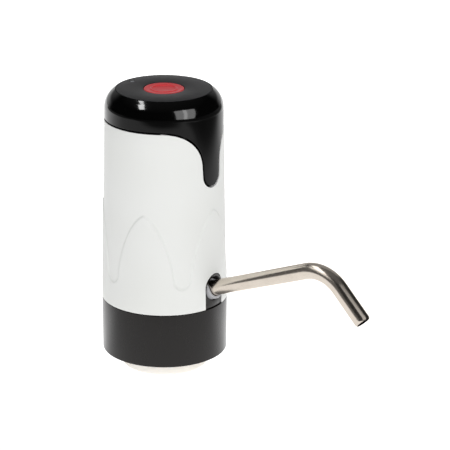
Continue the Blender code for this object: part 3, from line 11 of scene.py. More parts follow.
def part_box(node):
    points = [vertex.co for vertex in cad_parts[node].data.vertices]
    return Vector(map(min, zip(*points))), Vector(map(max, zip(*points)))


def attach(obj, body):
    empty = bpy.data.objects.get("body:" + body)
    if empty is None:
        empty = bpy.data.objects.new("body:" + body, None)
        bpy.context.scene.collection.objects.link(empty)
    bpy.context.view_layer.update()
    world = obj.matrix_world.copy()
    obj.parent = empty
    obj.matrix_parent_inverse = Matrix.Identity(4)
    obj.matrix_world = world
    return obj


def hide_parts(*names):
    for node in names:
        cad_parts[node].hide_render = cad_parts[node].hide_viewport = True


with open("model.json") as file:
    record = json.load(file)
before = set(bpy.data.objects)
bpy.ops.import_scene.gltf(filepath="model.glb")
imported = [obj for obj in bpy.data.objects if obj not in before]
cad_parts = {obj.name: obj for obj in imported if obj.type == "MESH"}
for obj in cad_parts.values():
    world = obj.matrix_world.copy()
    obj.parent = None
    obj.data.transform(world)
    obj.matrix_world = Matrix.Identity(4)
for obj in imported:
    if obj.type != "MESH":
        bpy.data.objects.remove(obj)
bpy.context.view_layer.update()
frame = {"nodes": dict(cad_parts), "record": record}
scene = bpy.context.scene

# The photograph's view: heading and pitch of the camera, and what they make right and ahead
viewHeading = radians(36.112)
viewPitch = radians(19.47)
viewRight = Vector((cos(viewHeading), sin(viewHeading), 0))
viewAhead = Vector((-sin(viewHeading), cos(viewHeading), 0))
viewLine = viewAhead * cos(viewPitch) - Vector((0, 0, sin(viewPitch)))


# Node trees
def asMaths(operation, swapped=False):
    # An operator of Wire. A swapped one has the wire on its right.
    def act(wire, other):
        return wire.maths(operation, *((other, wire) if swapped else (wire, other)))
    return act


class Wire:
    # An output socket of a tree. Arithmetic on it adds Math nodes there.
    def __init__(self, tree, socket):
        self.tree = tree
        self.socket = socket

    def maths(self, operation, *values):
        return self.tree.add("ShaderNodeMath", {"operation": operation}, dict(enumerate(values)))

    __add__, __radd__ = asMaths("ADD"), asMaths("ADD", True)
    __sub__, __rsub__ = asMaths("SUBTRACT"), asMaths("SUBTRACT", True)
    __mul__, __rmul__ = asMaths("MULTIPLY"), asMaths("MULTIPLY", True)
    __truediv__ = asMaths("DIVIDE")
    __pow__ = asMaths("POWER")
    __gt__ = asMaths("GREATER_THAN")

    def sine(self):
        return self.maths("SINE", self)

    def cosine(self):
        return self.maths("COSINE", self)

    def between(self, low, high, smooth=False):
        # 0 at low, 1 at high, and held there.
        kind = "SMOOTHSTEP" if smooth else "LINEAR"
        return self.tree.add("ShaderNodeMapRange", {"interpolation_type": kind, "clamp": True},
                             {"Value": self, "From Min": low, "From Max": high})

    def towards(self, other, share):
        return self + (other - self) * share

    def parts(self):
        split = self.tree.add("ShaderNodeSeparateXYZ", None, {0: self})
        return [Wire(self.tree, socket) for socket in split.socket.node.outputs]


class Tree:
    def __init__(self, group):
        self.group = group

    def add(self, kind, settings=None, inlets=None, outlet=0):
        node = self.group.nodes.new(kind)
        for name, value in (settings or {}).items():
            setattr(node, name, value)
        for name, value in (inlets or {}).items():
            self.feed(node.inputs[name], value)
        return Wire(self, node.outputs[outlet])

    def feed(self, socket, value):
        if isinstance(value, Wire):
            self.group.links.new(value.socket, socket)
        else:
            socket.default_value = value

    def paint(self, shader, values):
        for name, value in values.items():
            self.feed(shader[name], value)

    def point(self, x, y, z):
        return self.add("ShaderNodeCombineXYZ", None, {0: x, 1: y, 2: z})

    def noise(self, place, scale, detail=3.0, roughness=0.5):
        return self.add("ShaderNodeTexNoise", None, {
            "Vector": place, "Scale": scale, "Detail": detail, "Roughness": roughness})

    def cells(self, place, scale):
        return self.add("ShaderNodeTexVoronoi", {"feature": "SMOOTH_F1"}, {
            "Vector": place, "Scale": scale, "Smoothness": 0.6})

    def mix(self, share, first, second):
        return self.add("ShaderNodeMix", {"data_type": "RGBA"}, {0: share, 6: first, 7: second}, 2)

    def stretch(self, place, scale):
        return self.add("ShaderNodeMapping", {"vector_type": "POINT"}, {"Vector": place, "Scale": scale})

    def bump(self, height, look):
        return self.add("ShaderNodeBump", None, {
            "Height": height, "Distance": look["grainDepth"], "Strength": look["grain"]})


# Finishes
def colour(red, green, blue):
    # A screen colour, 0 to 255, in the values that the shader takes.
    def plain(level):
        level /= 255
        return level / 12.92 if level <= 0.04045 else ((level + 0.055) / 1.055) ** 2.4
    return (plain(red), plain(green), plain(blue), 1)


def blankFinish(name, fixed=None):
    material = bpy.data.materials.new(name)
    material.use_nodes = True
    shader = material.node_tree.nodes["Principled BSDF"].inputs
    for socket, value in (fixed or {}).items():
        shader[socket].default_value = value
    return material, Tree(material.node_tree), shader


# What a plastic has unless its own look says otherwise. Tones are 0 to 255, as on a screen.
plainPlastic = {
    "specular": 0.5,
    "spread": 0.08,
    "driftScale": 35.0,
    "grainScale": 2600.0,
    "grain": 0.1,
    "grainDepth": 0.00002,
    "flowScale": 300.0,
    "flowSquash": 0.2,
}


def moulded(name, tone, shade, roughness, own):
    # Moulded plastic or rubber: slow drift in tone, spark-eroded grain, faint flow marks.
    look = {**plainPlastic, **own}
    fixed = {"IOR": 1.5, "Specular IOR Level": look["specular"]}
    if "seep" in look:
        fixed.update({"Subsurface Weight": look["seep"], "Subsurface Scale": look["seepDepth"],
                      "Subsurface Radius": (1, 0.9, 0.8)})
    if "clear" in look:
        fixed["Transmission Weight"] = look["clear"]
    material, tree, shader = blankFinish(name, fixed)
    place = tree.add("ShaderNodeTexCoord", outlet="Object")
    drift = tree.noise(place, look["driftScale"], 2.0)
    grain = tree.cells(place, look["grainScale"])
    flow = tree.noise(tree.stretch(place, (1, 1, look["flowSquash"])), look["flowScale"], 4.0)
    tone = tree.mix(drift.between(0.3, 0.7), colour(*tone), colour(*shade))
    if "inside" in look:
        # Painted shade: dark under the skin, so that the seams' gaps read as shadowed lines.
        x, y, z = place.parts()
        skin = (x * x + y * y) ** 0.5 - (look["radius"] - look["fall"] * z)
        blend = look["blend"]
        tone = tree.mix(skin.between(-blend, blend), colour(*look["inside"]), tone)
    tree.paint(shader, {"Base Color": tone, "Roughness": roughness + (flow - 0.5) * look["spread"],
                        "Normal": tree.bump(grain, look)})
    return material


plainMetal = {
    "streakScale": 3000.0,
    "streakLength": 0.05,
    "tarnishScale": 150.0,
    "spread": 0.15,
    "grain": 0.1,
    "grainDepth": 0.00001,
}


def metal(name, tone, shade, roughness):
    # Plated or drawn metal: fine streaks in the gloss along one axis, and a faint tarnish.
    s = plainMetal
    material, tree, shader = blankFinish(name)
    place = tree.add("ShaderNodeTexCoord", outlet="Object")
    streak = tree.noise(tree.stretch(place, (1, 1, s["streakLength"])), s["streakScale"], 4.0)
    tarnish = tree.noise(place, s["tarnishScale"], 4.0)
    tone = tree.mix(tarnish.between(0.35, 0.75), colour(*tone), colour(*shade))
    tree.paint(shader, {"Base Color": tone, "Metallic": 1.0, "Normal": tree.bump(streak, s),
                        "Roughness": roughness + (streak - 0.5) * s["spread"]})
    return material


# Each row: tone, shade, roughness, and where it differs from the plain plastic. The white shell
# has painted shade inside, for its seams' shadow: radius and fall give its skin's radius less a hair, at
# each height.
plastics = {
    "white_shell": ((220, 221, 219), (217, 218, 215), 0.5,
                    {"grainScale": 2200.0, "grain": 0.08, "driftScale": 20.0, "specular": 0.35,
                     "inside": (30, 30, 30), "radius": 0.0321, "fall": 0.016, "blend": 0.0001}),
    "black_matt": ((15, 11, 9), (18, 14, 12), 0.28,
                   {"grainScale": 2400.0, "grain": 0.2, "specular": 0.42}),
    "black_gloss": ((2, 2, 2), (3, 3, 3), 0.09,
                    {"spread": 0.03, "grainScale": 900.0, "grain": 0.006, "specular": 0.28}),
    "disc_matt": ((41, 41, 43), (46, 46, 48), 0.42,
                  {"grainScale": 2400.0, "grain": 0.35, "specular": 0.32}),
    "button_red": ((226, 62, 68), (219, 57, 63), 0.36, {"specular": 0.42}),
    "silicone_white": ((238, 233, 226), (234, 229, 220), 0.5,
                       {"grainScale": 1800.0, "grain": 0.12, "seep": 0.25, "seepDepth": 0.003}),
    "clear_lens": ((124, 128, 134), (108, 112, 118), 0.2,
                   {"spread": 0.04, "clear": 0.3, "grain": 0.03}),
    "collar_grey": ((170, 170, 172), (162, 162, 165), 0.36, {"grainScale": 1500.0}),
    "seal_black": ((24, 24, 24), (30, 30, 30), 0.65, {"grain": 0.3}),
    "magnet_grey": ((70, 70, 72), (60, 60, 62), 0.6, {"grainScale": 1500.0, "grain": 0.5}),
    "pump_plastic": ((226, 225, 220), (220, 218, 212), 0.45, {}),
    "inner_plastic": ((48, 48, 50), (54, 54, 56), 0.48, {"grain": 0.2}),
    "cell_wrap": ((40, 96, 176), (34, 84, 160), 0.28, {"grainScale": 500.0, "grain": 0.05}),
    "hose_clear": ((228, 232, 230), (222, 227, 226), 0.3, {"clear": 0.4, "grain": 0.04}),
    "wire_red": ((196, 34, 34), (184, 28, 30), 0.42, {"grain": 0.08}),
    "wire_black": ((26, 26, 26), (34, 34, 34), 0.42, {"grain": 0.08}),
    "board_green": ((18, 92, 54), (14, 78, 44), 0.32,
                    {"grainScale": 700.0, "grain": 0.25, "driftScale": 260.0}),
}
metals = {
    "motor_steel": ((190, 190, 192), (176, 177, 180), 0.34),
    "screw_steel": ((186, 186, 188), (170, 170, 172), 0.28),
    "copper": ((206, 128, 88), (186, 106, 70), 0.32),
    "nickel": ((204, 200, 192), (190, 186, 178), 0.24),
}
finishes = {name: moulded(name, *look) for name, look in plastics.items()}
finishes.update({name: metal(name, *look) for name, look in metals.items()})

steelLook = {
    "tone": (236, 226, 214),
    "shade": (226, 215, 202),
    "roughness": 0.2,
    "spread": 0.1,
    "streakScale": 900.0,
    "streakLength": 0.04,
    "grain": 0.08,
    "grainDepth": 0.00001,
    "smearScale": 90.0,
    "smear": 0.05,
    # painted shade for the tube's inside
    "bore": (28, 25, 23),
}


def polishedSteel():
    # Streaks run along the tube. The tube's own space is straight: x and y across it, z along it.
    s = steelLook
    material, tree, shader = blankFinish("spout_steel")
    place = tree.add("ShaderNodeAttribute", {"attribute_name": "tubeSpace"}, outlet="Vector")
    along = tree.stretch(place, (1, 1, s["streakLength"]))
    streak = tree.noise(along, s["streakScale"], 5.0, 0.6)
    smear = tree.noise(place, s["smearScale"])
    steel = tree.mix(smear.between(0.3, 0.7), colour(*s["tone"]), colour(*s["shade"]))
    # Painted shade: the tube's inside is near black, for the shadow in its bore.
    bore = tree.add("ShaderNodeAttribute", {"attribute_name": "bore"}, outlet="Fac")
    tone = tree.mix(bore.between(0.55, 0.8), steel, colour(*s["bore"]))
    roughness = s["roughness"] + (streak - 0.5) * s["spread"] + (smear - 0.5) * s["smear"]
    tree.paint(shader, {"Base Color": tone, "Metallic": 1.0, "Roughness": roughness,
                        "Normal": tree.bump(streak, s)})
    return material


finishes["spout_steel"] = polishedSteel()
print(f"finishes: {len(finishes)}")

slotOf = {part["node"]: part["material_slot"] for part in frame["record"]["subparts"]}
for name, node in frame["nodes"].items():
    for place in node.material_slots:
        place.material = finishes[slotOf[name]]


# Making meshes
def softened(mesh):
    mesh.shade_smooth()
    mesh.set_sharp_from_angle(angle=radians(38))
    return mesh


def meshPiece(name, bm, finish):
    mesh = bpy.data.meshes.new(name)
    bmesh.ops.recalc_face_normals(bm, faces=bm.faces)
    bm.to_mesh(mesh)
    bm.free()
    softened(mesh)
    mesh.materials.append(finish)
    piece = bpy.data.objects.new(name, mesh)
    scene.collection.objects.link(piece)
    return piece


def freeze(piece):
    # The piece's modifiers become plain mesh.
    graph = bpy.context.evaluated_depsgraph_get()
    mesh = bpy.data.meshes.new_from_object(piece.evaluated_get(graph), preserve_all_data_layers=True,
                                           depsgraph=graph)
    piece.modifiers.clear()
    piece.data = softened(mesh)
    return piece


def thicken(piece, wall):
    # A skin gets a wall on its inside.
    thick = piece.modifiers.new("wall", "SOLIDIFY")
    thick.thickness = wall
    thick.offset = -1


def carve(piece, *tools, operation="DIFFERENCE"):
    for tool in tools:
        boolean = piece.modifiers.new(operation.lower(), "BOOLEAN")
        boolean.object = tool
        boolean.operation = operation
        boolean.solver = "EXACT"
    freeze(piece)
    for tool in tools:
        bpy.data.objects.remove(tool)
    return piece


def dress(piece, body, slot, *nodes):
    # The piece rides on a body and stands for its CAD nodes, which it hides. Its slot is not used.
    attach(piece, body)
    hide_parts(*nodes)
    return piece


def closedGrid(bm, rings, skipped=()):
    # Quads over a list of closed rings of points, which join the last ring to the first too.
    verts = [[bm.verts.new(point) for point in ring] for ring in rings]
    across = len(rings[0])
    for j, ring in enumerate(verts):
        other = verts[(j + 1) % len(verts)]
        for i in range(across):
            if (j, i) not in skipped:
                k = (i + 1) % across
                bm.faces.new((ring[i], ring[k], other[k], other[i]))
    return verts


def turnOnto(bm, profile, steps, place=Matrix()):
    # A closed profile of (radius, height) turned about Z. Points on the axis become poles.
    rings = []
    for radius, height in profile:
        turns = [2 * pi * i / steps for i in range(steps)] if radius > 1e-7 else [0]
        rings.append([bm.verts.new(place @ Vector((radius * cos(t), radius * sin(t), height)))
                      for t in turns])
    for ring, other in zip(rings, rings[1:] + rings[:1]):
        if len(ring) == 1 and len(other) == 1:
            continue
        for i in range(steps):
            k = (i + 1) % steps
            corners = [ring[i % len(ring)], ring[k % len(ring)],
                       other[k % len(other)], other[i % len(other)]]
            bm.faces.new(list(dict.fromkeys(corners)))


def rounded(profile, radii, steps=4):
    # A closed profile with some corners filleted. radii holds a radius for a corner's index.
    points = []
    for n, corner in enumerate(profile):
        radius = radii.get(n, 0)
        if not radius:
            points.append(corner)
            continue
        here = Vector(corner)
        back = Vector(profile[n - 1]) - here
        ahead = Vector(profile[(n + 1) % len(profile)]) - here
        half = back.angle(ahead) / 2
        reach = min(radius / tan(half), back.length * 0.49, ahead.length * 0.49)
        radius = reach * tan(half)
        back.normalize()
        ahead.normalize()
        centre = here + (back + ahead).normalized() * hypot(radius, reach)
        start = here + back * reach - centre
        end = here + ahead * reach - centre
        turn = start.angle_signed(end)
        for k in range(steps + 1):
            swing = Matrix.Rotation(-turn * k / steps, 2)
            points.append(tuple(centre + swing @ start))
    return points


def turned(name, profile, finish, steps, place=Matrix()):
    bm = bmesh.new()
    turnOnto(bm, profile, steps, place)
    return meshPiece(name, bm, finish)


def drum(name, radius, low, high, place, steps):
    bm = bmesh.new()
    turnOnto(bm, [(0, low), (radius, low), (radius, high), (0, high)], steps, place)
    return meshPiece(name, bm, None)


def slab(name, outline, near, far):
    # A prism: an outline of (y, z) pushed along X.
    bm = bmesh.new()
    ends = [[bm.verts.new((x, y, z)) for y, z in outline] for x in (near, far)]
    bm.faces.new(ends[0])
    bm.faces.new(ends[1])
    for i in range(len(outline)):
        k = (i + 1) % len(outline)
        bm.faces.new((ends[0][i], ends[0][k], ends[1][k], ends[1][i]))
    return meshPiece(name, bm, None)


def geometryTree(name, sizes):
    # A Geometry Nodes tree with one named input for each size.
    group = bpy.data.node_groups.new(name, "GeometryNodeTree")
    group.interface.new_socket("Geometry", in_out="OUTPUT", socket_type="NodeSocketGeometry")
    for label, value in sizes.items():
        kind = "NodeSocketInt" if isinstance(value, int) else "NodeSocketFloat"
        group.interface.new_socket(label, in_out="INPUT", socket_type=kind).default_value = value
    given = group.nodes.new("NodeGroupInput")
    tree = Tree(group)
    return tree, {label: Wire(tree, given.outputs[label]) for label in sizes}


def grow(name, tree, shape, sizes, finish):
    # Ends the tree, runs it once and keeps the result as plain mesh.
    real = tree.add("GeometryNodeRealizeInstances", None, {"Geometry": shape})
    painted = tree.add("GeometryNodeSetMaterial", None, {"Geometry": real, "Material": finish})
    tree.feed(tree.group.nodes.new("NodeGroupOutput").inputs[0], painted)
    piece = bpy.data.objects.new(name, bpy.data.meshes.new(name))
    scene.collection.objects.link(piece)
    modifier = piece.modifiers.new("shape", "NODES")
    modifier.node_group = tree.group
    for item in tree.group.interface.items_tree:
        if item.in_out == "INPUT":
            modifier[item.identifier] = sizes[item.name]
    return freeze(piece)


# Levels and radii that the pieces share
outline = {
    "seam": 0.0067,
    "capEdge": 0.1036,
    "top": 0.1187,
    "skirtFoot": -0.022,
    "plugFoot": -0.0309,
    "footRadius": 0.0328,
    "taper": 0.00155,
    "gap": 0.0003,
    "seamGap": 0.0006,
    "relief": 0.00055,
    "wall": 0.002,
    "deck": 0.002,
}
seam = outline["seam"]
gap = outline["gap"]
overrun = 0.001  # how far a cutting tool stands out of what it cuts, and starts past the axis


def shellRadius(z):
    return outline["footRadius"] - outline["taper"] * (z - seam) / (outline["capEdge"] - seam)


spout = {
    "exitRise": 0.0107,
    "rise": radians(21.1),
    "fall": radians(45.6),
}
exitHeight = seam + spout["exitRise"]
exitRadius = shellRadius(exitHeight)
spoutLine = (Matrix.Translation((exitRadius, 0, exitHeight))
             @ Matrix.Rotation(pi / 2 - spout["rise"], 4, "Y"))
pumpLine = Matrix.Translation((-0.01495, 0, 0))

# Base ring: skirt, deck, upstand, spigot and the posts on the deck
ringSizes = {
    "skirtRadius": 0.03275,
    "skirtWall": 0.0028,
    "draft": 0.0002,
    "foot": 0.0006,
    "topEdge": 0.00025,
    "well": 0.02855,
    "upstand": 0.02995,
    "upstandRise": 0.005,
    "spigotRadius": 0.0202,
    "spigotBore": 0.0186,
    "spigotFoot": -0.0273,
    "postRadius": 0.0028,
    "framePosts": [(66, 0.03145), (229, 0.03145), (320, 0.03145)],
    "frameCircle": 0.02535,
    "socketPosts": 0.008,
    "earInset": 0.0095,
    "earReach": 0.0105,
    "nippleHole": 0.0033,
    "spoutGap": 0.0144,
    "spoutGapRise": 0.007,
}
postHole = {
    "radius": 0.0012,
    "depth": 0.006,
    "floor": 0.0006,
    "edge": 0.0002,
}


earPlaces = [Matrix.Translation((exitRadius - ringSizes["earInset"], side * ringSizes["earReach"], 0))
             for side in (-1, 1)]


def onCircle(angle, radius):
    return Matrix.Rotation(radians(angle), 4, "Z") @ Matrix.Translation((radius, 0, 0))


def postOnto(bm, radius, low, high, place):
    # A screw post with its blind hole.
    bore, edge = postHole["radius"], postHole["edge"]
    floor = max(high - postHole["depth"], low + postHole["floor"])
    turnOnto(bm, [(0, low), (radius, low), (radius, high - edge), (radius - edge, high), (bore, high),
                  (bore, floor), (0, floor)], 32, place)
    bmesh.ops.recalc_face_normals(bm, faces=bm.faces)


def baseRing():
    s = ringSizes
    deck, foot = outline["deck"], outline["skirtFoot"]
    bore = s["skirtRadius"] - s["skirtWall"]
    high = seam + s["upstandRise"]
    profile = [
        (0, deck), (s["well"], deck), (s["well"], high), (s["upstand"], high), (s["upstand"], seam),
        (s["skirtRadius"], seam), (s["skirtRadius"] - s["draft"], foot), (bore, foot), (bore, 0),
        (s["spigotRadius"], 0), (s["spigotRadius"], s["spigotFoot"]),
        (s["spigotBore"], s["spigotFoot"]), (s["spigotBore"], 0), (0, 0)]
    corners = {corner: s["topEdge"] for corner in range(1, 13)}
    corners.update({6: s["foot"], 7: s["foot"]})
    ring = turned("baseRing", rounded(profile, corners), finishes["black_matt"], 160)
    half, high = s["spoutGap"] / 2, seam + s["spoutGapRise"]
    opening = slab("upstandGap", [(-half, deck), (half, deck), (half, high), (-half, high)],
                   overrun, s["upstand"] + gap)
    hole = drum("nippleHole", s["nippleHole"], -2 * overrun, deck + 2 * overrun, pumpLine, 64)
    carve(ring, opening, hole)
    posts = [(high, onCircle(angle, s["frameCircle"])) for angle, high in s["framePosts"]]
    posts += [(s["socketPosts"], place) for place in earPlaces]
    bm = bmesh.new()
    for high, place in posts:
        postOnto(bm, s["postRadius"], deck - gap, high, place)
    bm.from_mesh(ring.data)
    bm.to_mesh(ring.data)
    bm.free()
    softened(ring.data)
    return dress(ring, "body", "black_matt", "base_ring")


baseRing()

# Neck plug and hose nipple
plugSizes = {
    "bore": 0.0205,
    "flange": 0.0246,
    "flangeLow": -0.0019,
    "head": 0.0241,
    "foot": 0.0225,
    "rib": 0.0007,
    "ribWidth": 0.0016,
    "ribs": (0.25, 0.5),
    "footRound": 0.0018,
    "flangeEdge": 0.0004,
    "edge": 0.0006,
    "lip": 0.0186,
    "lipTop": -0.0276,
}


def neckPlug():
    s = plugSizes
    low = outline["plugFoot"]
    length = s["flangeLow"] - low
    profile = [(s["bore"], -gap), (s["flange"], -gap), (s["flange"], s["flangeLow"]),
               (s["head"], s["flangeLow"])]
    radii = {1: s["flangeEdge"], 2: s["flangeEdge"]}
    for share in s["ribs"]:
        z = s["flangeLow"] - share * length
        wall = s["head"] + (s["foot"] - s["head"]) * share
        radii[len(profile) + 1] = s["edge"]
        profile += [(wall, z), (wall + s["rib"], z - s["ribWidth"] / 2), (wall, z - s["ribWidth"])]
    radii[len(profile)] = s["footRound"]
    radii[len(profile) + 1] = s["edge"]
    profile += [(s["foot"], low), (s["lip"], low), (s["lip"], s["lipTop"]), (s["bore"], s["lipTop"])]
    plug = turned("neckPlug", rounded(profile, radii, 6), finishes["silicone_white"], 144)
    return dress(plug, "body", "silicone_white", "neck_plug")


nippleSizes = {
    "bore": 0.0017,
    "radius": 0.003,
    "barb": 0.0005,
    "barbLength": 0.0015,
    "length": 0.016,
    "barbs": (0.45, 0.7, 0.95),
    "flange": 0.0048,
    "socket": 0.0029,
    "cup": 0.0043,
    "floor": 0.0025,
    "edge": 0.0002,
}


def hoseNipple():
    s = nippleSizes
    low = outline["deck"] + gap
    waist = s["radius"] - s["barb"]
    profile = [(s["socket"], s["cup"]), (s["flange"], s["cup"]), (s["flange"], low), (s["radius"], low)]
    for share in s["barbs"]:
        z = -share * s["length"]
        shoulder = z + s["barbLength"]
        profile += [(waist, shoulder), (s["radius"], shoulder), (waist, z)]
    profile += [(waist, -s["length"]), (s["bore"], -s["length"]), (s["bore"], s["floor"]),
                (s["socket"], s["floor"])]
    profile = rounded(profile, {corner: s["edge"] for corner in (1, 13, 14)})
    nipple = turned("hoseNipple", profile, finishes["pump_plastic"], 48, pumpLine)
    return dress(nipple, "body", "pump_plastic", "inlet_nipple")


neckPlug()
hoseNipple()
print("base, plug and nipple")

# White shell. Its raised foot meets the recessed upper wall along five waves.
waveSizes = {
    "Columns": 360,
    "Rows": 30,
    "Waves": 5,
    "Seam": outline["seam"],
    "Low": outline["seam"] + gap,
    "High": outline["capEdge"] - outline["seamGap"],
    "Foot Radius": outline["footRadius"],
    "Taper": outline["taper"],
    "Height": outline["capEdge"] - outline["seam"],
    "Peak Rise": 0.053,
    "Side Rise": 0.0182,
    "Valley Radius": 0.0046,
    "Crown Share": 0.66,
    "Relief": outline["relief"],
    "Relief Half Width": 0.0007,
    "Below Share": 0.3,
    "Above Share": 0.66,
}
shellEdge = {
    "width": 0.00035,
    "segments": 3,
    "angle": radians(60),
}


def shellTree():
    # u runs round the shell and v up it; each half wave is a crown side and a quarter valley.
    tree, size = geometryTree("shellWave", waveSizes)
    grid = tree.add("GeometryNodeMeshGrid", None, {
        "Size X": 1.0, "Size Y": 1.0, "Vertices X": size["Columns"] + 1, "Vertices Y": size["Rows"] + 1})
    x, y, z = tree.add("GeometryNodeInputPosition").parts()
    u, v = x + 0.5, y + 0.5
    around = size["Foot Radius"] * (2 * pi)
    half = around / size["Waves"] * 0.5
    phase = u * size["Waves"]
    turn = phase.maths("FRACT", phase)
    late = turn > 0.5
    share = 1 - (turn * 2 - 1).maths("ABSOLUTE", turn * 2 - 1)
    crown = (share / size["Crown Share"]).between(0.0, 1.0) * (pi / 2)
    valley = share.between(size["Crown Share"], 1.0) * (pi / 2)
    inValley = share > size["Crown Share"]
    side = half - size["Valley Radius"]
    lift = size["Peak Rise"] - size["Side Rise"]
    power = 4 / 3  # of the crown's oval
    arc = (side * crown.sine() ** power).towards(half - size["Valley Radius"] * valley.cosine(), inValley)
    rise = (size["Side Rise"] + lift * crown.cosine() ** power).towards(
        size["Side Rise"] - size["Valley Radius"] * valley.sine(), inValley)
    margin = 0.02  # the crown's slope is only finite between its ends
    kept = crown.maths("MINIMUM", crown.maths("MAXIMUM", crown, margin), pi / 2 - margin)
    run = side * kept.sine() ** (power - 1) * kept.cosine()
    climb = lift * kept.cosine() ** (power - 1) * kept.sine()
    length = (run * run + climb * climb) ** 0.5
    outArc = (climb / length).towards(valley.cosine(), inValley) * (1 - late * 2)
    outRise = (run / length).towards(valley.sine(), inValley)
    arc = phase.maths("FLOOR", phase) * half * 2 + arc.towards(half * 2 - arc, late)
    below = v.between(0.0, size["Below Share"])
    band = v.between(size["Below Share"], size["Above Share"])
    above = v.between(size["Above Share"], 1.0)
    offset = (band * 2 - 1) * size["Relief Half Width"]
    edgeArc = arc + offset * outArc
    edgeZ = size["Seam"] + rise + offset * outRise
    even = u * around
    arc = even.towards(edgeArc, below).towards(even, above)
    z = size["Low"].towards(edgeZ, below).towards(size["High"], above)
    radius = (size["Foot Radius"] - size["Taper"] * (z - size["Seam"]) / size["Height"]
              - size["Relief"] * band.between(0.0, 1.0, True))
    angle = arc / size["Foot Radius"]
    place = tree.point(radius * angle.cosine(), radius * angle.sine(), z)
    wall = tree.add("GeometryNodeSetPosition", None, {"Geometry": grid, "Position": place})
    wall = tree.add("GeometryNodeMergeByDistance", None, {"Geometry": wall, "Distance": 0.00001})
    return tree, wall


archSizes = {
    "notchHalf": 0.0069,
    "half": 0.0068,
    "centre": 0.01825,
    "low": 0.007,
    "face": 0.0323,
    "back": 0.0266,
    "edge": 0.0003,
    "bore": 0.006,
    "boreEdge": 0.00025,
    "bottom": -0.0148,
    "outer": 0.0072,
    "outerTop": -0.006,
    "foot": -0.0163,
    "barb": 0.0026,
    "barbLength": 0.0075,
    "passage": 0.0014,
    "ear": 0.0028,
    "earLow": 0.0083,
    "earHigh": 0.0103,
    "earHole": 0.0013,
}


def archOutline(half, foot):
    centre, steps = archSizes["centre"], 48
    turns = [pi * k / steps for k in range(steps + 1)]
    return [(-half, foot), (half, foot)] + [(half * cos(t), centre + half * sin(t)) for t in turns]


dripSizes = {
    "end": 0.07225,
    "endRadius": 0.0065,
    "halfWidth": 0.0068,
    "flareReach": 0.0288,
    "flareDrop": 0.0202,
    "endSteps": 14,
    "sideSteps": 4,
    "flareSteps": 30,
}


def dripEdge(grown):
    # Half of the drip's lower edge as (arc, height, outward arc, outward height), from its tip.
    s = dripSizes
    centre = s["end"] + s["endRadius"]
    flareFoot = outline["capEdge"] - s["flareDrop"]
    reach = s["flareReach"] - s["halfWidth"]
    points = []
    for k in range(s["endSteps"] + 1):
        t = pi / 2 * k / s["endSteps"]
        points.append((s["endRadius"] * sin(t), centre - s["endRadius"] * cos(t), sin(t), -cos(t)))
    lean = s["halfWidth"] - s["endRadius"]
    climb = flareFoot - centre
    length = hypot(lean, climb)
    for k in range(1, s["sideSteps"]):
        share = k / s["sideSteps"]
        points.append((s["endRadius"] + lean * share, centre + climb * share,
                       climb / length, -lean / length))
    for k in range(s["flareSteps"] + 1):
        t = pi / 2 * k / s["flareSteps"]
        across, up = cos(t) / reach, -sin(t) / s["flareDrop"]
        points.append((s["flareReach"] - reach * cos(t), flareFoot + s["flareDrop"] * sin(t),
                       across / hypot(across, up), up / hypot(across, up)))
    return [(arc + grown * a, z + grown * u, a, u) for arc, z, a, u in points]


def dripOutline(grown):
    # The whole drip as (y, z), closed above the cap's edge.
    radius = capRadius(dripSizes["end"])
    right = [(radius * sin(arc / radius), z) for arc, z, _, _ in dripEdge(grown)]
    left = [(-y, z) for y, z in reversed(right[1:])]
    high = outline["capEdge"] + 2 * overrun
    return left + right + [(right[-1][0], high), (left[0][0], high)]


capSizes = {
    "proud": 0.0001,
    "wall": 0.0018,
    "edge": 0.00035,
    "bevelRadius": 0.0109,
    "lipAngle": radians(27.2),
    "tuck": radians(-3.5),
    "bulge": 0.00006,
    "bulgeReach": 0.006,
    "lift": 0.0004,
    "bevelSteps": 26,
    "deckTop": 0.1172,
    "deckLow": 0.1156,
    "hole": 0.0107,
    "slotHalf": 0.00405,
    "slotLow": 0.1044,
    "slotHigh": 0.1076,
    "backSteps": 76,
    "slotSteps": 5,
    "discSeat": ((0.00018, 0.0001), (0.00006, 0.00005), (0, 0.00012)),
    "lip": 0.0284,
    "lipBore": 0.027,
    "lipFoot": 0.0996,
    "lipTop": 0.105,
    "lipStep": 0.0004,
    "lipStepRise": 0.0006,
    "lipEdges": {0: 0.0002, 1: 0.0004},
    "posts": (60, 145, -50),
    "postCircle": 0.0218,
    "postRadius": 0.0024,
    "postFoot": 0.1095,
}


def capRadius(z):
    # Just proud of the shell, and bulged a hair where it runs up into the bevel.
    share = min(max((z - outline["capEdge"]) / capSizes["bulgeReach"], 0), 1)
    bulge = 4 * capSizes["bulge"] * share * (1 - share)
    return shellRadius(z) - outline["relief"] + capSizes["proud"] + bulge


bevelEquator = outline["top"] - capSizes["bevelRadius"] * cos(capSizes["lipAngle"])
bevelFoot = bevelEquator - capSizes["bevelRadius"] * sin(capSizes["tuck"])
bevelCentre = capRadius(bevelFoot) - capSizes["bevelRadius"] * cos(capSizes["tuck"])
discRadius = bevelCentre + capSizes["bevelRadius"] * sin(capSizes["lipAngle"])


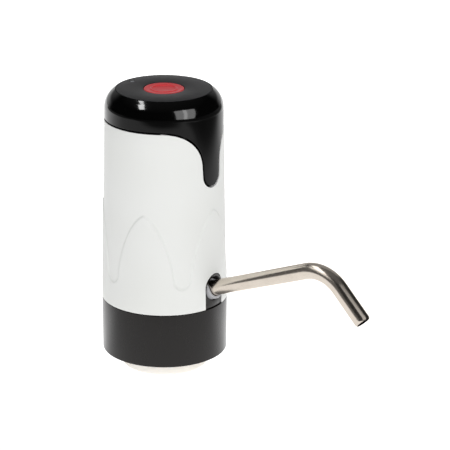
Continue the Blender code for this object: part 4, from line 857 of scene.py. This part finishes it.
def bodyShell():
    tree, wall = shellTree()
    shell = grow("bodyShell", tree, wall, waveSizes, finishes["white_shell"])
    bm = bmesh.new()
    bm.from_mesh(shell.data)
    bmesh.ops.recalc_face_normals(bm, faces=bm.faces)
    outwards = Vector((1, 1, 0))
    if sum(face.normal.dot(face.calc_center_median() * outwards) for face in bm.faces) < 0:
        bmesh.ops.reverse_faces(bm, faces=bm.faces)
    bm.to_mesh(shell.data)
    bm.free()
    thicken(shell, outline["wall"])
    edges = shell.modifiers.new("edges", "BEVEL")
    edges.width = shellEdge["width"]
    edges.segments = shellEdge["segments"]
    edges.limit_method = "ANGLE"
    edges.angle_limit = shellEdge["angle"]
    freeze(shell)
    far = outline["footRadius"] + 2 * overrun
    carve(shell, slab("notch", archOutline(archSizes["notchHalf"], seam - 2 * overrun), overrun, far),
          slab("drip", dripOutline(outline["seamGap"]), overrun, far))
    return dress(shell, "body", "white_shell", "body_shell")


bodyShell()
print("shell")


def capCrown():
    # Rows above the cap's wall as (radius, height): up the bevel, into the disc's seat, round
    # the deck to its underside, and down inside the bevel.
    s = capSizes
    bevel, wall = s["bevelRadius"], s["bevelRadius"] - s["wall"]
    slotTurn = acos((s["slotHigh"] - bevelEquator) / bevel)
    turns = [(pi / 2 + s["tuck"] + slotTurn) / 2]
    turns += [slotTurn + (s["lipAngle"] - slotTurn) * k / s["bevelSteps"] for k in range(s["bevelSteps"])]
    rows = [(bevelCentre + bevel * sin(t), bevelEquator + bevel * cos(t)) for t in turns]
    rows += [(discRadius + out, outline["top"] - down) for out, down in s["discSeat"]]
    middle = (discRadius + s["hole"]) / 2
    deckReach = bevelCentre + sqrt(wall ** 2 - (s["deckLow"] - bevelEquator) ** 2)
    rows += [(radius, s["deckTop"]) for radius in (discRadius, middle, s["hole"])]
    rows += [(radius, s["deckLow"]) for radius in (s["hole"], middle, deckReach)]
    deckTurn, slotTurn = [asin((s[z] - bevelEquator) / wall) for z in ("deckLow", "slotHigh")]
    for k in range(1, 7):
        t = deckTurn + (slotTurn - deckTurn) * k / 6
        rows.append((bevelCentre + wall * cos(t), bevelEquator + wall * sin(t)))
    rows.append(((rows[-1][0] + capRadius(bevelFoot) - s["wall"]) / 2, (s["slotHigh"] + bevelFoot) / 2))
    return rows


def lipAndPostsOnto(bm):
    s = capSizes
    step = s["lip"] + s["lipStep"]
    lip = [(s["lipBore"], s["lipFoot"]), (s["lip"], s["lipFoot"]), (s["lip"], outline["capEdge"] + gap),
           (step, outline["capEdge"] + s["lipStepRise"]), (step, s["lipTop"]), (s["lipBore"], s["lipTop"])]
    turnOnto(bm, rounded(lip, s["lipEdges"]), 144)
    high, radius = s["deckLow"] + gap, s["postRadius"]
    for angle in s["posts"]:
        turnOnto(bm, [(0, high), (radius, high), (radius, s["postFoot"]), (0, s["postFoot"])], 32,
                 onCircle(angle, s["postCircle"]))


# Cap with its drip tongue, from one closed grid
def topCap():
    s = capSizes
    edge = dripEdge(-s["lift"])
    low = outline["capEdge"] + s["lift"]
    base = capRadius(dripSizes["end"])
    columns = [(asin(base * sin(arc / base) / capRadius(z)), arc, z, a, u) for arc, z, a, u in edge]
    start = columns[-1][0]
    slotAngle = pi - asin(s["slotHalf"] / capRadius(s["slotLow"]))
    for first, last, steps in ((start, slotAngle, s["backSteps"]), (slotAngle, pi, s["slotSteps"])):
        columns += [(first + (last - first) * k / steps, None, low, 0, -1) for k in range(1, steps + 1)]
    slotColumn = len(columns) - 1 - s["slotSteps"]
    reach = [0.0]
    for (a, _, z, _, _), (b, _, y, _, _) in zip(columns, columns[1:]):
        reach.append(reach[-1] + hypot((b - a) * base, y - z))

    def wallLevels(inset):
        slotRows = [s["slotLow"] + (bevelFoot - s["slotLow"]) * k / 3 for k in range(4)]
        levels = [low + inset] + slotRows
        return [(z - levels[0]) / (levels[-1] - levels[0]) for z in levels]

    def wallPoint(column, inset, depth, share, topAngle):
        # inset goes in from the lower edge along the surface, depth goes in from the surface.
        angle, arc, z, a, u = column
        z -= inset * u
        if arc is not None:
            arc -= inset * a
            angle = asin(base * sin(arc / base) / capRadius(z))
        angle += (topAngle - angle) * share
        z += (bevelFoot - z) * share
        return angle, z, capRadius(z) - depth

    crownRows = capCrown()
    outerShares = wallLevels(s["edge"])
    innerShares = wallLevels(0)[::-1]
    edgeTurns = [pi / 2 * k / 3 for k in range(3)]
    half = []
    for n, column in enumerate(columns):
        # On the way up, the columns near the drip move halfway to an even spacing.
        even = pi * reach[n] / reach[-1]
        topAngle = column[0] + 0.5 * max(0, 1 - column[0] / 2) * (even - column[0])
        points = [wallPoint(column, s["edge"] * (1 - cos(t)), s["edge"] * (1 - sin(t)), 0, topAngle)
                  for t in edgeTurns]
        points += [wallPoint(column, s["edge"], 0, share, topAngle) for share in outerShares]
        points += [(topAngle, z, radius) for radius, z in crownRows]
        points += [wallPoint(column, 0, s["wall"], share, topAngle) for share in innerShares]
        half.append(points)
    mirrored = [[(-angle, z, radius) for angle, z, radius in points] for points in reversed(half[1:-1])]
    rings = [[(radius * cos(angle), radius * sin(angle), z) for angle, z, radius in ring]
             for ring in zip(*half, *mirrored)]
    # The charging slot leaves out some quads of both walls, and gets four sides between them.
    slotRows = 5
    outerRow = len(edgeTurns) + 1
    innerRow = outerRow + len(outerShares) + len(crownRows) - 3
    slotColumns = range(slotColumn, slotColumn + 2 * s["slotSteps"])
    skipped = {(row + k, i) for row in (outerRow, innerRow) for k in range(slotRows) for i in slotColumns}
    bm = bmesh.new()
    verts = closedGrid(bm, rings, skipped)
    for i in slotColumns:
        for outer, inner in ((outerRow, innerRow + slotRows), (outerRow + slotRows, innerRow)):
            bm.faces.new((verts[outer][i], verts[outer][i + 1], verts[inner][i + 1], verts[inner][i]))
    for k in range(slotRows):
        outer, inner = outerRow + k, innerRow + slotRows - k
        for i in (slotColumn, slotColumns[-1] + 1):
            bm.faces.new((verts[outer][i], verts[outer + 1][i], verts[inner - 1][i], verts[inner][i]))
    lipAndPostsOnto(bm)
    cap = meshPiece("topCap", bm, finishes["black_gloss"])
    return dress(cap, "body", "black_gloss", "top_cap")


cap = topCap()
print("cap")

# Disc, button and indicator lens on the top
topSizes = {
    "plateLow": 0.1175,
    "plateEdge": 0.00025,
    "hole": 0.0107,
    "lensOffset": 0.0205,
    "lensHole": 0.0015,
    "lensRadius": 0.0012,
    "lensFlat": 0.6,
    "lensCrown": 0.00002,
    "lensDome": 0.0001,
    "lensFlange": 0.0006,
    "buttonRadius": 0.0104,
    "buttonEdge": 0.0006,
    "dish": 0.0005,
    "ringRadius": 0.0071,
    "ringWidth": 0.0011,
    "ringHeight": 0.0003,
    "flange": 0.0121,
    "flangeTop": 0.1153,
    "flangeLow": 0.1141,
    "skirtBore": 0.009,
    "skin": 0.0016,
    "stemRadius": 0.0022,
    "stemLow": 0.1125,
    "step": 0.0005,
    "ringStep": 0.00012,
    "ringReach": 1.6,
}
lensPlace = Matrix.Translation((-topSizes["lensOffset"], 0, 0))


def topPlate():
    s = topSizes
    top = outline["top"]
    profile = rounded([(s["hole"], top), (discRadius - gap, top), (discRadius - gap, s["plateLow"]),
                       (s["hole"], s["plateLow"])], {0: s["plateEdge"], 1: s["plateEdge"]})
    plate = turned("topPlate", profile, finishes["disc_matt"], 160)
    carve(plate, drum("lensHole", s["lensHole"], s["plateLow"] - overrun, top + overrun, lensPlace, 48))
    return dress(plate, "body", "disc_matt", "top_plate")


def powerButton():
    # Dished, with a raised ring whose section takes finer steps.
    s = topSizes
    top = outline["top"]
    rim = s["buttonRadius"] - s["buttonEdge"]
    profile = []
    middle = s["ringRadius"] - s["ringWidth"] / 2
    radius = 0.0
    while radius < rim:
        height = top - s["dish"] * (1 - (radius / rim) ** 2)
        away = abs(radius - middle) / (s["ringWidth"] / 2)
        if away < 1:
            height += s["ringHeight"] * (1 - away ** 2) ** 0.5
        profile.append((radius, height))
        radius += s["ringStep"] if away < s["ringReach"] else s["step"]
    for k in range(7):
        t = pi / 2 * k / 6
        profile.append((rim + s["buttonEdge"] * sin(t), top - s["buttonEdge"] * (1 - cos(t))))
    under = top - s["dish"] - s["skin"]
    profile += [(s["buttonRadius"], s["flangeTop"]), (s["flange"], s["flangeTop"]),
                (s["flange"], s["flangeLow"]), (s["skirtBore"], s["flangeLow"]), (s["skirtBore"], under),
                (s["stemRadius"], under), (s["stemRadius"], s["stemLow"]), (0, s["stemLow"])]
    button = turned("powerButton", profile, finishes["button_red"], 128)
    return dress(button, "button", "button_red", "power_button")


def indicatorLens():
    s = topSizes
    top = outline["top"]
    low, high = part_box("indicator_lens")
    radius, wide = s["lensRadius"], (high.x - low.x) / 2
    under = s["flangeTop"]
    foot = under - s["lensFlange"]
    profile = [(0, top), (radius * s["lensFlat"], top - s["lensCrown"]), (radius, top - s["lensDome"]),
               (radius, under), (wide, under), (wide, foot), (radius, foot), (radius, low.z), (0, low.z)]
    lens = turned("indicatorLens", profile, finishes["clear_lens"], 48, lensPlace)
    return dress(lens, "body", "clear_lens", "indicator_lens")


topPlate()
powerButton()
indicatorLens()
print("top disc, button and lens")


# Spout socket: the arch insert with its inclined bore
def archReach(angle, half):
    # From the bore's middle to the arch's outline, in one direction.
    s = archSizes
    across, up = cos(angle), sin(angle)
    lift = s["centre"] - exitHeight
    middle = lift * up
    reach = middle + sqrt(max(middle ** 2 - lift ** 2 + half ** 2, 0))
    if reach * up >= lift:
        return reach
    reach = half / max(abs(across), 1e-9)
    if up < 0:
        reach = min(reach, (exitHeight - s["low"]) / -up)
    return reach


def earWeb():
    # One long ear with round ends, across the pump under the barrel.
    s = archSizes
    middle, reach = exitRadius - ringSizes["earInset"], ringSizes["earReach"]
    points = []
    for side in (1, -1):
        for k in range(25):
            t = pi * k / 24
            points.append((middle + side * s["ear"] * cos(t), side * (reach + s["ear"] * sin(t))))
    web = slab("earWeb", points, s["earLow"], s["earHigh"])
    web.data.transform(Matrix(((0, 1, 0, 0), (0, 0, 1, 0), (1, 0, 0, 0), (0, 0, 0, 1))))
    return web


def spoutSocket():
    # Rings of points: up the bore, over the face, round the arch's side and down the barrel.
    s = archSizes
    count = 128
    corner = atan2(s["low"] - exitHeight, s["half"])
    angles = [2 * pi * k / count for k in range(count)]
    for special in (corner % (2 * pi), (pi - corner) % (2 * pi)):
        angles[min(range(count), key=lambda k: abs(angles[k] - special))] = special
    edge, lip, soft = s["edge"], s["boreEdge"], 0.3
    along = (spoutLine.to_3x3() @ Vector((0, 0, 1))).x

    def barrelRing(radius, height):
        return [spoutLine @ Vector((-radius * sin(t), radius * cos(t), height)) for t in angles]

    def onFace(y, z, depth):
        return Vector((sqrt((s["face"] - depth) ** 2 - y ** 2), y, z))

    mouthRing, archRing, faceRows = [], [], []
    for t, start in zip(angles, barrelRing(s["bore"], 0)):
        # Where the bore's side meets the face, and where the arch ends in the same direction.
        side = Vector((-s["bore"] * sin(t), s["bore"] * cos(t), 0))
        climb = (sqrt(s["face"] ** 2 - start.y ** 2) - start.x) / along
        mouthRing.append(spoutLine @ (side + Vector((0, 0, climb - lip))))
        mouth = (spoutLine @ (side + Vector((0, 0, climb)))).yz
        reach = archReach(t, s["half"])
        rim = Vector((reach * cos(t), exitHeight + reach * sin(t)))
        archRing.append(Vector((s["back"], *rim)))
        wide = max((rim - mouth).length, 1e-6)
        steps = [(min(lip * soft / wide, 0.2), lip * soft), (min(lip / wide, 0.3), 0), (0.55, 0),
                 (1 - min(edge / wide, 0.35), 0), (1 - min(edge * soft / wide, 0.12), edge * soft),
                 (1, edge)]
        faceRows.append([onFace(*(mouth + (rim - mouth) * share), depth) for share, depth in steps])
    end = s["foot"] - s["barbLength"]
    bm = bmesh.new()
    closedGrid(bm, [
        barrelRing(s["passage"], s["bottom"]), barrelRing(s["bore"], s["bottom"]), mouthRing,
        *zip(*faceRows), archRing,
        barrelRing(s["outer"], s["outerTop"]), barrelRing(s["outer"], s["foot"]),
        barrelRing(s["barb"], s["foot"]), barrelRing(s["barb"], end), barrelRing(s["passage"], end)])
    socket = meshPiece("spoutSocket", bm, finishes["black_matt"])
    bore = drum("earBore", s["bore"] + gap, s["bottom"], overrun, spoutLine, 96)
    carve(socket, carve(earWeb(), bore), operation="UNION")
    carve(socket, *[drum("earHole", s["earHole"], s["earLow"] - overrun, s["earHigh"] + overrun, place, 32)
                    for place in earPlaces])
    return dress(socket, "body", "black_matt", "spout_socket")


spoutSocket()

# Spout: collar and bent tube
collarSizes = {
    "bore": 0.00432,
    "radius": 0.0057,
    "proud": 0.0004,
    "funnel": 0.0002,
    "foot": -0.0128,
    "nose": 0.0004,
    "edge": 0.0003,
    "slope": 0.005,
}


def spoutCollar():
    s = collarSizes
    mouth = s["bore"] + s["funnel"]
    profile = rounded([
        (s["bore"], s["proud"] - s["funnel"]), (mouth, s["proud"]), (s["radius"], s["proud"]),
        (s["radius"], s["foot"]), (s["bore"], s["foot"])], {2: s["nose"], 3: s["edge"]}, 6)
    collar = turned("spoutCollar", profile, finishes["collar_grey"], 96)
    # The mouth slopes back towards its top.
    for vert in collar.data.vertices:
        if vert.co.z > s["foot"] / 2:
            vert.co.z -= s["slope"] * max(-vert.co.x / s["radius"], 0) ** 2
    collar.data.transform(spoutLine)
    return dress(collar, "spout_slider", "collar_grey", "spout_collar")


tubeSizes = {
    "Foot": -0.0145,
    "Corner": 0.0729,
    "Drop": 0.0332,
    "Bend": spout["rise"] + spout["fall"],
    "Bend Radius": 0.019,
    "Radius": 0.004,
    "Sides": 72,
    "Bend Steps": 40,
}
tubeEnd = {
    "length": 0.0018,
    "inset": 0.00038,
    "slant": radians(4.5),
    "steps": 7,
    "wall": 0.0005,
    "swell": 0.075,
    "swellFrom": -0.011,
    "swellOver": 0.002,
}
tubeSizes["Drop"] -= tubeEnd["length"]


def tubeTree():
    # A line of three points is filleted and gets the tube's section. Each point also keeps
    # its place on the straight tube, for streaks that follow the bend.
    tree, size = geometryTree("spoutTube", tubeSizes)
    line = tree.add("GeometryNodeMeshLine", None, {"Count": 3})
    index = tree.add("GeometryNodeInputIndex")
    past = index > 0.5
    fallen = index > 1.5
    x = fallen * size["Drop"] * size["Bend"].sine()
    z = size["Foot"].towards(size["Corner"], past) + fallen * size["Drop"] * size["Bend"].cosine()
    place = tree.point(x, 0.0, z)
    line = tree.add("GeometryNodeSetPosition", None, {"Geometry": line, "Position": place})
    curve = tree.add("GeometryNodeMeshToCurve", None, {"Mesh": line})
    curve = tree.add("GeometryNodeFilletCurve", {"mode": "POLY"}, {
        "Curve": curve, "Count": size["Bend Steps"], "Radius": size["Bend Radius"]})
    along = tree.add("GeometryNodeSplineParameter", outlet="Length")
    curve, reach = keep(tree, curve, along, "FLOAT")
    section = tree.add("GeometryNodeCurvePrimitiveCircle", None, {
        "Resolution": size["Sides"], "Radius": size["Radius"]})
    section, across = keep(tree, section, tree.add("GeometryNodeInputPosition"), "VECTOR")
    wall = tree.add("GeometryNodeCurveToMesh", None, {"Curve": curve, "Profile Curve": section})
    first, second, _ = across.parts()
    straight = tree.point(first, second, reach)
    wall = tree.add("GeometryNodeStoreNamedAttribute", {"data_type": "FLOAT_VECTOR", "domain": "POINT"}, {
        "Geometry": wall, "Name": "tubeSpace", "Value": straight})
    return tree, wall


def keep(tree, shape, value, kind):
    # Captures a value on a curve's points, to read after the curve has become a mesh.
    node = tree.group.nodes.new("GeometryNodeCaptureAttribute")
    node.capture_items.new(kind, "kept")
    tree.feed(node.inputs[0], shape)
    tree.feed(node.inputs[1], value)
    return Wire(tree, node.outputs[0]), Wire(tree, node.outputs[1])


def swell(bm):
    # The drawn part is thicker than the foot that goes into the socket.
    s = tubeEnd
    space = bm.verts.layers.float_vector["tubeSpace"]
    bm.normal_update()
    for vert in bm.verts:
        reach = vert[space].z + tubeSizes["Foot"]
        share = min(max((reach - s["swellFrom"]) / s["swellOver"], 0), 1)
        vert.co += vert.normal * (tubeSizes["Radius"] * s["swell"] * share)


def roundEnd(bm):
    # The mouth curls in a little, and is cut a few degrees off square, towards the view.
    s = tubeEnd
    bend, drop = tubeSizes["Bend"], tubeSizes["Drop"]
    axis = Vector((sin(bend), 0, cos(bend)))
    end = Vector((0, 0, tubeSizes["Corner"])) + axis * drop
    space = bm.verts.layers.float_vector["tubeSpace"]
    sight = spoutLine.to_3x3().inverted() @ -viewLine
    lean = (sight - axis * sight.dot(axis)).normalized()
    turn = 2 * atan2(s["inset"], s["length"])
    curl = s["length"] / sin(turn)
    near = tubeSizes["Radius"] * 1.25
    edges = [edge for edge in bm.edges if edge.is_boundary and (edge.verts[0].co - end).length < near]
    for step in range(1, s["steps"] + 1):
        made = bmesh.ops.extrude_edge_only(bm, edges=edges)["geom"]
        edges = [item for item in made if isinstance(item, bmesh.types.BMEdge)]
        t = turn * step / s["steps"]
        for vert in [item for item in made if isinstance(item, bmesh.types.BMVert)]:
            side = vert.co - end
            side = (side - axis * side.dot(axis)).normalized()
            radius = tubeSizes["Radius"] * (1 + s["swell"]) - curl * (1 - cos(t))
            slant = radius * side.dot(lean) * tan(s["slant"]) * step / s["steps"]
            vert.co = end + side * radius + axis * (curl * sin(t) - slant)
            vert[space] += Vector((0, 0, s["length"] / s["steps"]))


def spoutTube():
    tree, wall = tubeTree()
    tube = grow("spoutTube", tree, wall, tubeSizes, finishes["spout_steel"])
    bm = bmesh.new()
    bm.from_mesh(tube.data)
    swell(bm)
    roundEnd(bm)
    bm.transform(spoutLine)
    bmesh.ops.recalc_face_normals(bm, faces=bm.faces)
    # The normals have to face away from the straight part's middle.
    middle = spoutLine @ Vector((0, 0, 0.02))
    axis = spoutLine.to_3x3() @ Vector((0, 0, 1))
    near = min(bm.faces, key=lambda face: (face.calc_center_median() - middle).length)
    away = near.calc_center_median() - middle
    if near.normal.dot(away - axis * away.dot(axis)) < 0:
        bmesh.ops.reverse_faces(bm, faces=bm.faces)
    bm.to_mesh(tube.data)
    bm.free()
    outside = len(tube.data.vertices)
    thicken(tube, tubeEnd["wall"])
    freeze(tube)
    # The inside gets painted shade, near black: solidify puts its points after the outside's.
    bore = tube.data.attributes.new("bore", "FLOAT", "POINT")
    inside = [float(index >= outside) for index in range(len(tube.data.vertices))]
    bore.data.foreach_set("value", inside)
    return dress(tube, "spout", "spout_steel", "spout_tube")


spoutCollar()
tube = spoutTube()
print("spout")

# Floor, light and camera
studio = {
    "floorReach": 3.0,
    "paper": (0.25, 0.25, 0.25, 1),
    "paperGlow": (0.86, 1.5),
    "paperRise": (-0.1, 0.06),
    "cloudScale": 4.0,
    "cloud": 0.02,
    "mirroredPaper": (0.01, 0.01, 0.01, 1),
    "mirroredLift": 0.001,
}
# The table as reflections see it: brighter behind, and dark past its front, left and right edges.
mirrorTable = {
    "front": 0.92,
    "behind": 1.95,
    "lean": 0.3,
    "turn": (0.09, 0.45),
    "near": 0.8,
    "nearEdge": (-0.02, 0.03),
    "nearReach": (0.13, 0.2),
    "frontEdge": (0.42, 0.6),
    "rightEdge": (0.37, 0.48),
    "rightCorner": (0.0, 0.15),
    "rightSlope": 1.5,
    "leftEdge": (0.7, 0.95),
    "leftCorner": (0.0, 0.2),
    "beyond": 0.1,
}
# The room: even white light on the pieces. Reflections see a dim room with a bright backdrop,
# low behind and more to the left.
roomLook = {
    "even": 0.48,
    "background": 1.0,
    "dim": 0.012,
    "lean": 0.08,
    "backdrop": (0.55, 0.86),
    "low": (0.12, 0.26),
    "high": (0.42, 0.62),
    "lowShare": 0.75,
    "ceiling": (0.6, 1.0),
    "ceilingGlow": 0.1,
}


def reachAlong(x, y, direction):
    return x * direction.x + y * direction.y


def paperSheet(lift=0):
    # A flat sheet at the foot of the plug, or a little above it.
    bm = bmesh.new()
    bmesh.ops.create_grid(bm, x_segments=1, y_segments=1, size=studio["floorReach"])
    bmesh.ops.translate(bm, verts=bm.verts, vec=(0, 0, outline["plugFoot"] + lift))
    return bm


def shine(tree, shader, tone, glow):
    tree.paint(shader, {"Base Color": tone, "Emission Strength": 1.0,
                        "Emission Color": tree.point(glow, glow, glow)})


def stageFloor():
    # A pale light table, brighter behind the pump than in front of it.
    s = studio
    material, tree, shader = blankFinish("floorPaper", {"Specular IOR Level": 0.1, "Roughness": 0.9})
    place = tree.add("ShaderNodeTexCoord", outlet="Object")
    x, y, _ = place.parts()
    front, behind = s["paperGlow"]
    glow = front + (behind - front) * reachAlong(x, y, viewAhead).between(*s["paperRise"], True)
    glow = glow + (tree.noise(place, s["cloudScale"]) - 0.5) * s["cloud"]
    shine(tree, shader, s["paper"], glow)
    bm = paperSheet()
    meshPiece("floor", bm, material)


def mirroredTable():
    s = mirrorTable
    material, tree, shader = blankFinish("mirroredPaper", {"Specular IOR Level": 0.0})
    x, y, _ = tree.add("ShaderNodeTexCoord", outlet="Object").parts()
    across, ahead = reachAlong(x, y, viewRight), reachAlong(x, y, viewAhead)
    glow = s["front"] + (s["behind"] - s["front"]) * (ahead - across * s["lean"]).between(*s["turn"])
    away = (across * across + ahead * ahead) ** 0.5
    glow = glow + ahead.between(*s["nearEdge"], True) * (1 - away.between(*s["nearReach"])) * s["near"]
    front = (ahead * -1).between(*s["frontEdge"], True)
    right = (across * s["rightSlope"] - ahead).between(*s["rightCorner"])
    right = right * across.between(*s["rightEdge"], True)
    left = (across * -1 - ahead).between(*s["leftCorner"]) * (across * -1).between(*s["leftEdge"], True)
    past = right.maths("MAXIMUM", right, front)
    glow = glow * (1 - past.maths("MAXIMUM", past, left) * (1 - s["beyond"]))
    shine(tree, shader, studio["mirroredPaper"], glow)
    table = meshPiece("mirroredTable", paperSheet(studio["mirroredLift"]), material)
    table.visible_camera = False
    table.visible_diffuse = False
    table.visible_transmission = False
    table.visible_shadow = False


def studioLight():
    s = roomLook
    world = bpy.data.worlds.new("studio")
    scene.world = world
    world.use_nodes = True
    tree = Tree(world.node_tree)
    x, y, z = tree.add("ShaderNodeTexCoord", outlet="Generated").parts()
    across, ahead = reachAlong(x, y, viewRight), reachAlong(x, y, viewAhead)
    behind = (ahead - across * s["lean"]).between(*s["backdrop"], True)
    high = (z.between(*s["low"], True) * s["lowShare"]
            + z.between(*s["high"], True) * (1 - s["lowShare"]))
    room = s["dim"] + z.between(*s["ceiling"]) * s["ceilingGlow"]
    seen = room.towards(1 - high, behind)
    mirrored = tree.add("ShaderNodeLightPath", outlet="Is Glossy Ray")
    direct = tree.add("ShaderNodeLightPath", outlet="Is Camera Ray")
    light = s["even"] + (s["background"] - s["even"]) * direct
    backdrop = world.node_tree.nodes["Background"].inputs
    backdrop["Color"].default_value = (1, 1, 1, 1)
    tree.feed(backdrop["Strength"], light.towards(seen, mirrored))


aimPoint = Vector((0, 0, 0.1))  # what all softboxes face, near the cap
# Each softbox: direction in the view's right, ahead and up, distance, the way its long side
# runs, width and length, brightness, and what it lights. The hard gloss of the cap shows the
# lights much brighter than the rest does, and the drawn steel smears them wider. Only
# reflections see them, except the one that lights all, which no reflection sees.
softboxes = {
    "strip": ((-0.512, -0.235, 0.822), 1.0, (0.10, 0.332, 0.12), (0.15, 0.44), 26.0, "cap"),
    "stripEnd": ((-0.385, 0.15, 0.91), 1.0, (0.14, 0.80, 0.1), (0.08, 0.44), 20.0, "cap"),
    "window": ((0.655, -0.648, 0.39), 1.2, (0.1, 0.1, 1), (0.83, 0.99), 5.8, "cap"),
    "windowBar": ((0.65, -0.655, 0.39), 1.19, (0.1, 0.1, 1), (0.14, 0.99), 5.5, "cap"),
    "softStrip": ((-0.473, -0.11, 0.875), 1.0, (0.14, 0.80, 0.176), (0.25, 0.95), 2.0, "rest"),
    "softWindow": ((0.667, -0.644, 0.375), 1.2, (0, 0, 1), (0.95, 1.0), 0.5, "rest"),
    "tubeStrip": ((-0.64, -0.37, 0.67), 1.0, (0.14, 0.80, 0.176), (0.4, 0.9), 0.9, "tube"),
    "tubeRoom": ((-0.8, -0.5, 0.3), 1.4, (0, 0, 1), (1.9, 1.4), 0.09, "tube"),
    "tubeBack": ((-0.1, 0.72, 0.69), 1.2, (0, 0, 1), (2.4, 1.2), 0.22, "tube"),
    "front": ((0.19, -0.887, 0.423), 1.2, (0, 0, 1), (0.6, 0.6), 6.2, "all"),
}


def inView(right, ahead, up):
    return viewRight * right + viewAhead * ahead + Vector((0, 0, up))


def placeSoftbox(name, box, lightable):
    towards, away, along, size, bright, lit = box
    light = bpy.data.lights.new(name, "AREA")
    light.shape = "RECTANGLE"
    light.size, light.size_y = size
    light.energy = bright * pi * light.size * light.size_y
    lamp = bpy.data.objects.new(name, light)
    scene.collection.objects.link(lamp)
    back = inView(*towards).normalized()
    along = inView(*along)
    along = (along - back * along.dot(back)).normalized()
    axes = Matrix([along.cross(back), along, back]).transposed()
    lamp.matrix_world = Matrix.Translation(aimPoint + back * away) @ axes.to_4x4()
    lamp.visible_diffuse = lit == "all"
    lamp.visible_glossy = lit != "all"
    if lit in lightable:
        state, pieces = lightable[lit]
        group = bpy.data.collections.new(name + "Lit")
        for piece in pieces:
            group.objects.link(piece)
        lamp.light_linking.receiver_collection = group
        for entry in group.collection_objects:
            entry.light_linking.link_state = state


# The place is in the frame's axes, and the roll turns the camera's top to the left.
cameraSetup = {
    "at": (0.7035, -0.9109, 0.4516),
    "lens": 187.84,
    "sensor": 36,
    "roll": radians(0.3),
}


def placeCamera():
    s = cameraSetup
    up = viewRight.cross(viewLine)
    across = cos(s["roll"]) * viewRight + sin(s["roll"]) * up
    upright = cos(s["roll"]) * up - sin(s["roll"]) * viewRight
    axes = Matrix([across, upright, -viewLine]).transposed()
    data = bpy.data.cameras.new("camera")
    data.lens = s["lens"]
    data.sensor_width = s["sensor"]
    data.clip_start = 0.01
    data.clip_end = 20
    camera = bpy.data.objects.new("camera", data)
    scene.collection.objects.link(camera)
    camera.matrix_world = Matrix.Translation(s["at"]) @ axes.to_4x4()
    scene.camera = camera


stageFloor()
mirroredTable()
studioLight()
lightable = {"cap": ("INCLUDE", [cap]), "tube": ("INCLUDE", [tube]), "rest": ("EXCLUDE", [cap])}
for name, box in softboxes.items():
    placeSoftbox(name, box, lightable)
placeCamera()
scene.view_settings.view_transform = "Standard"
print("floor, light and camera")
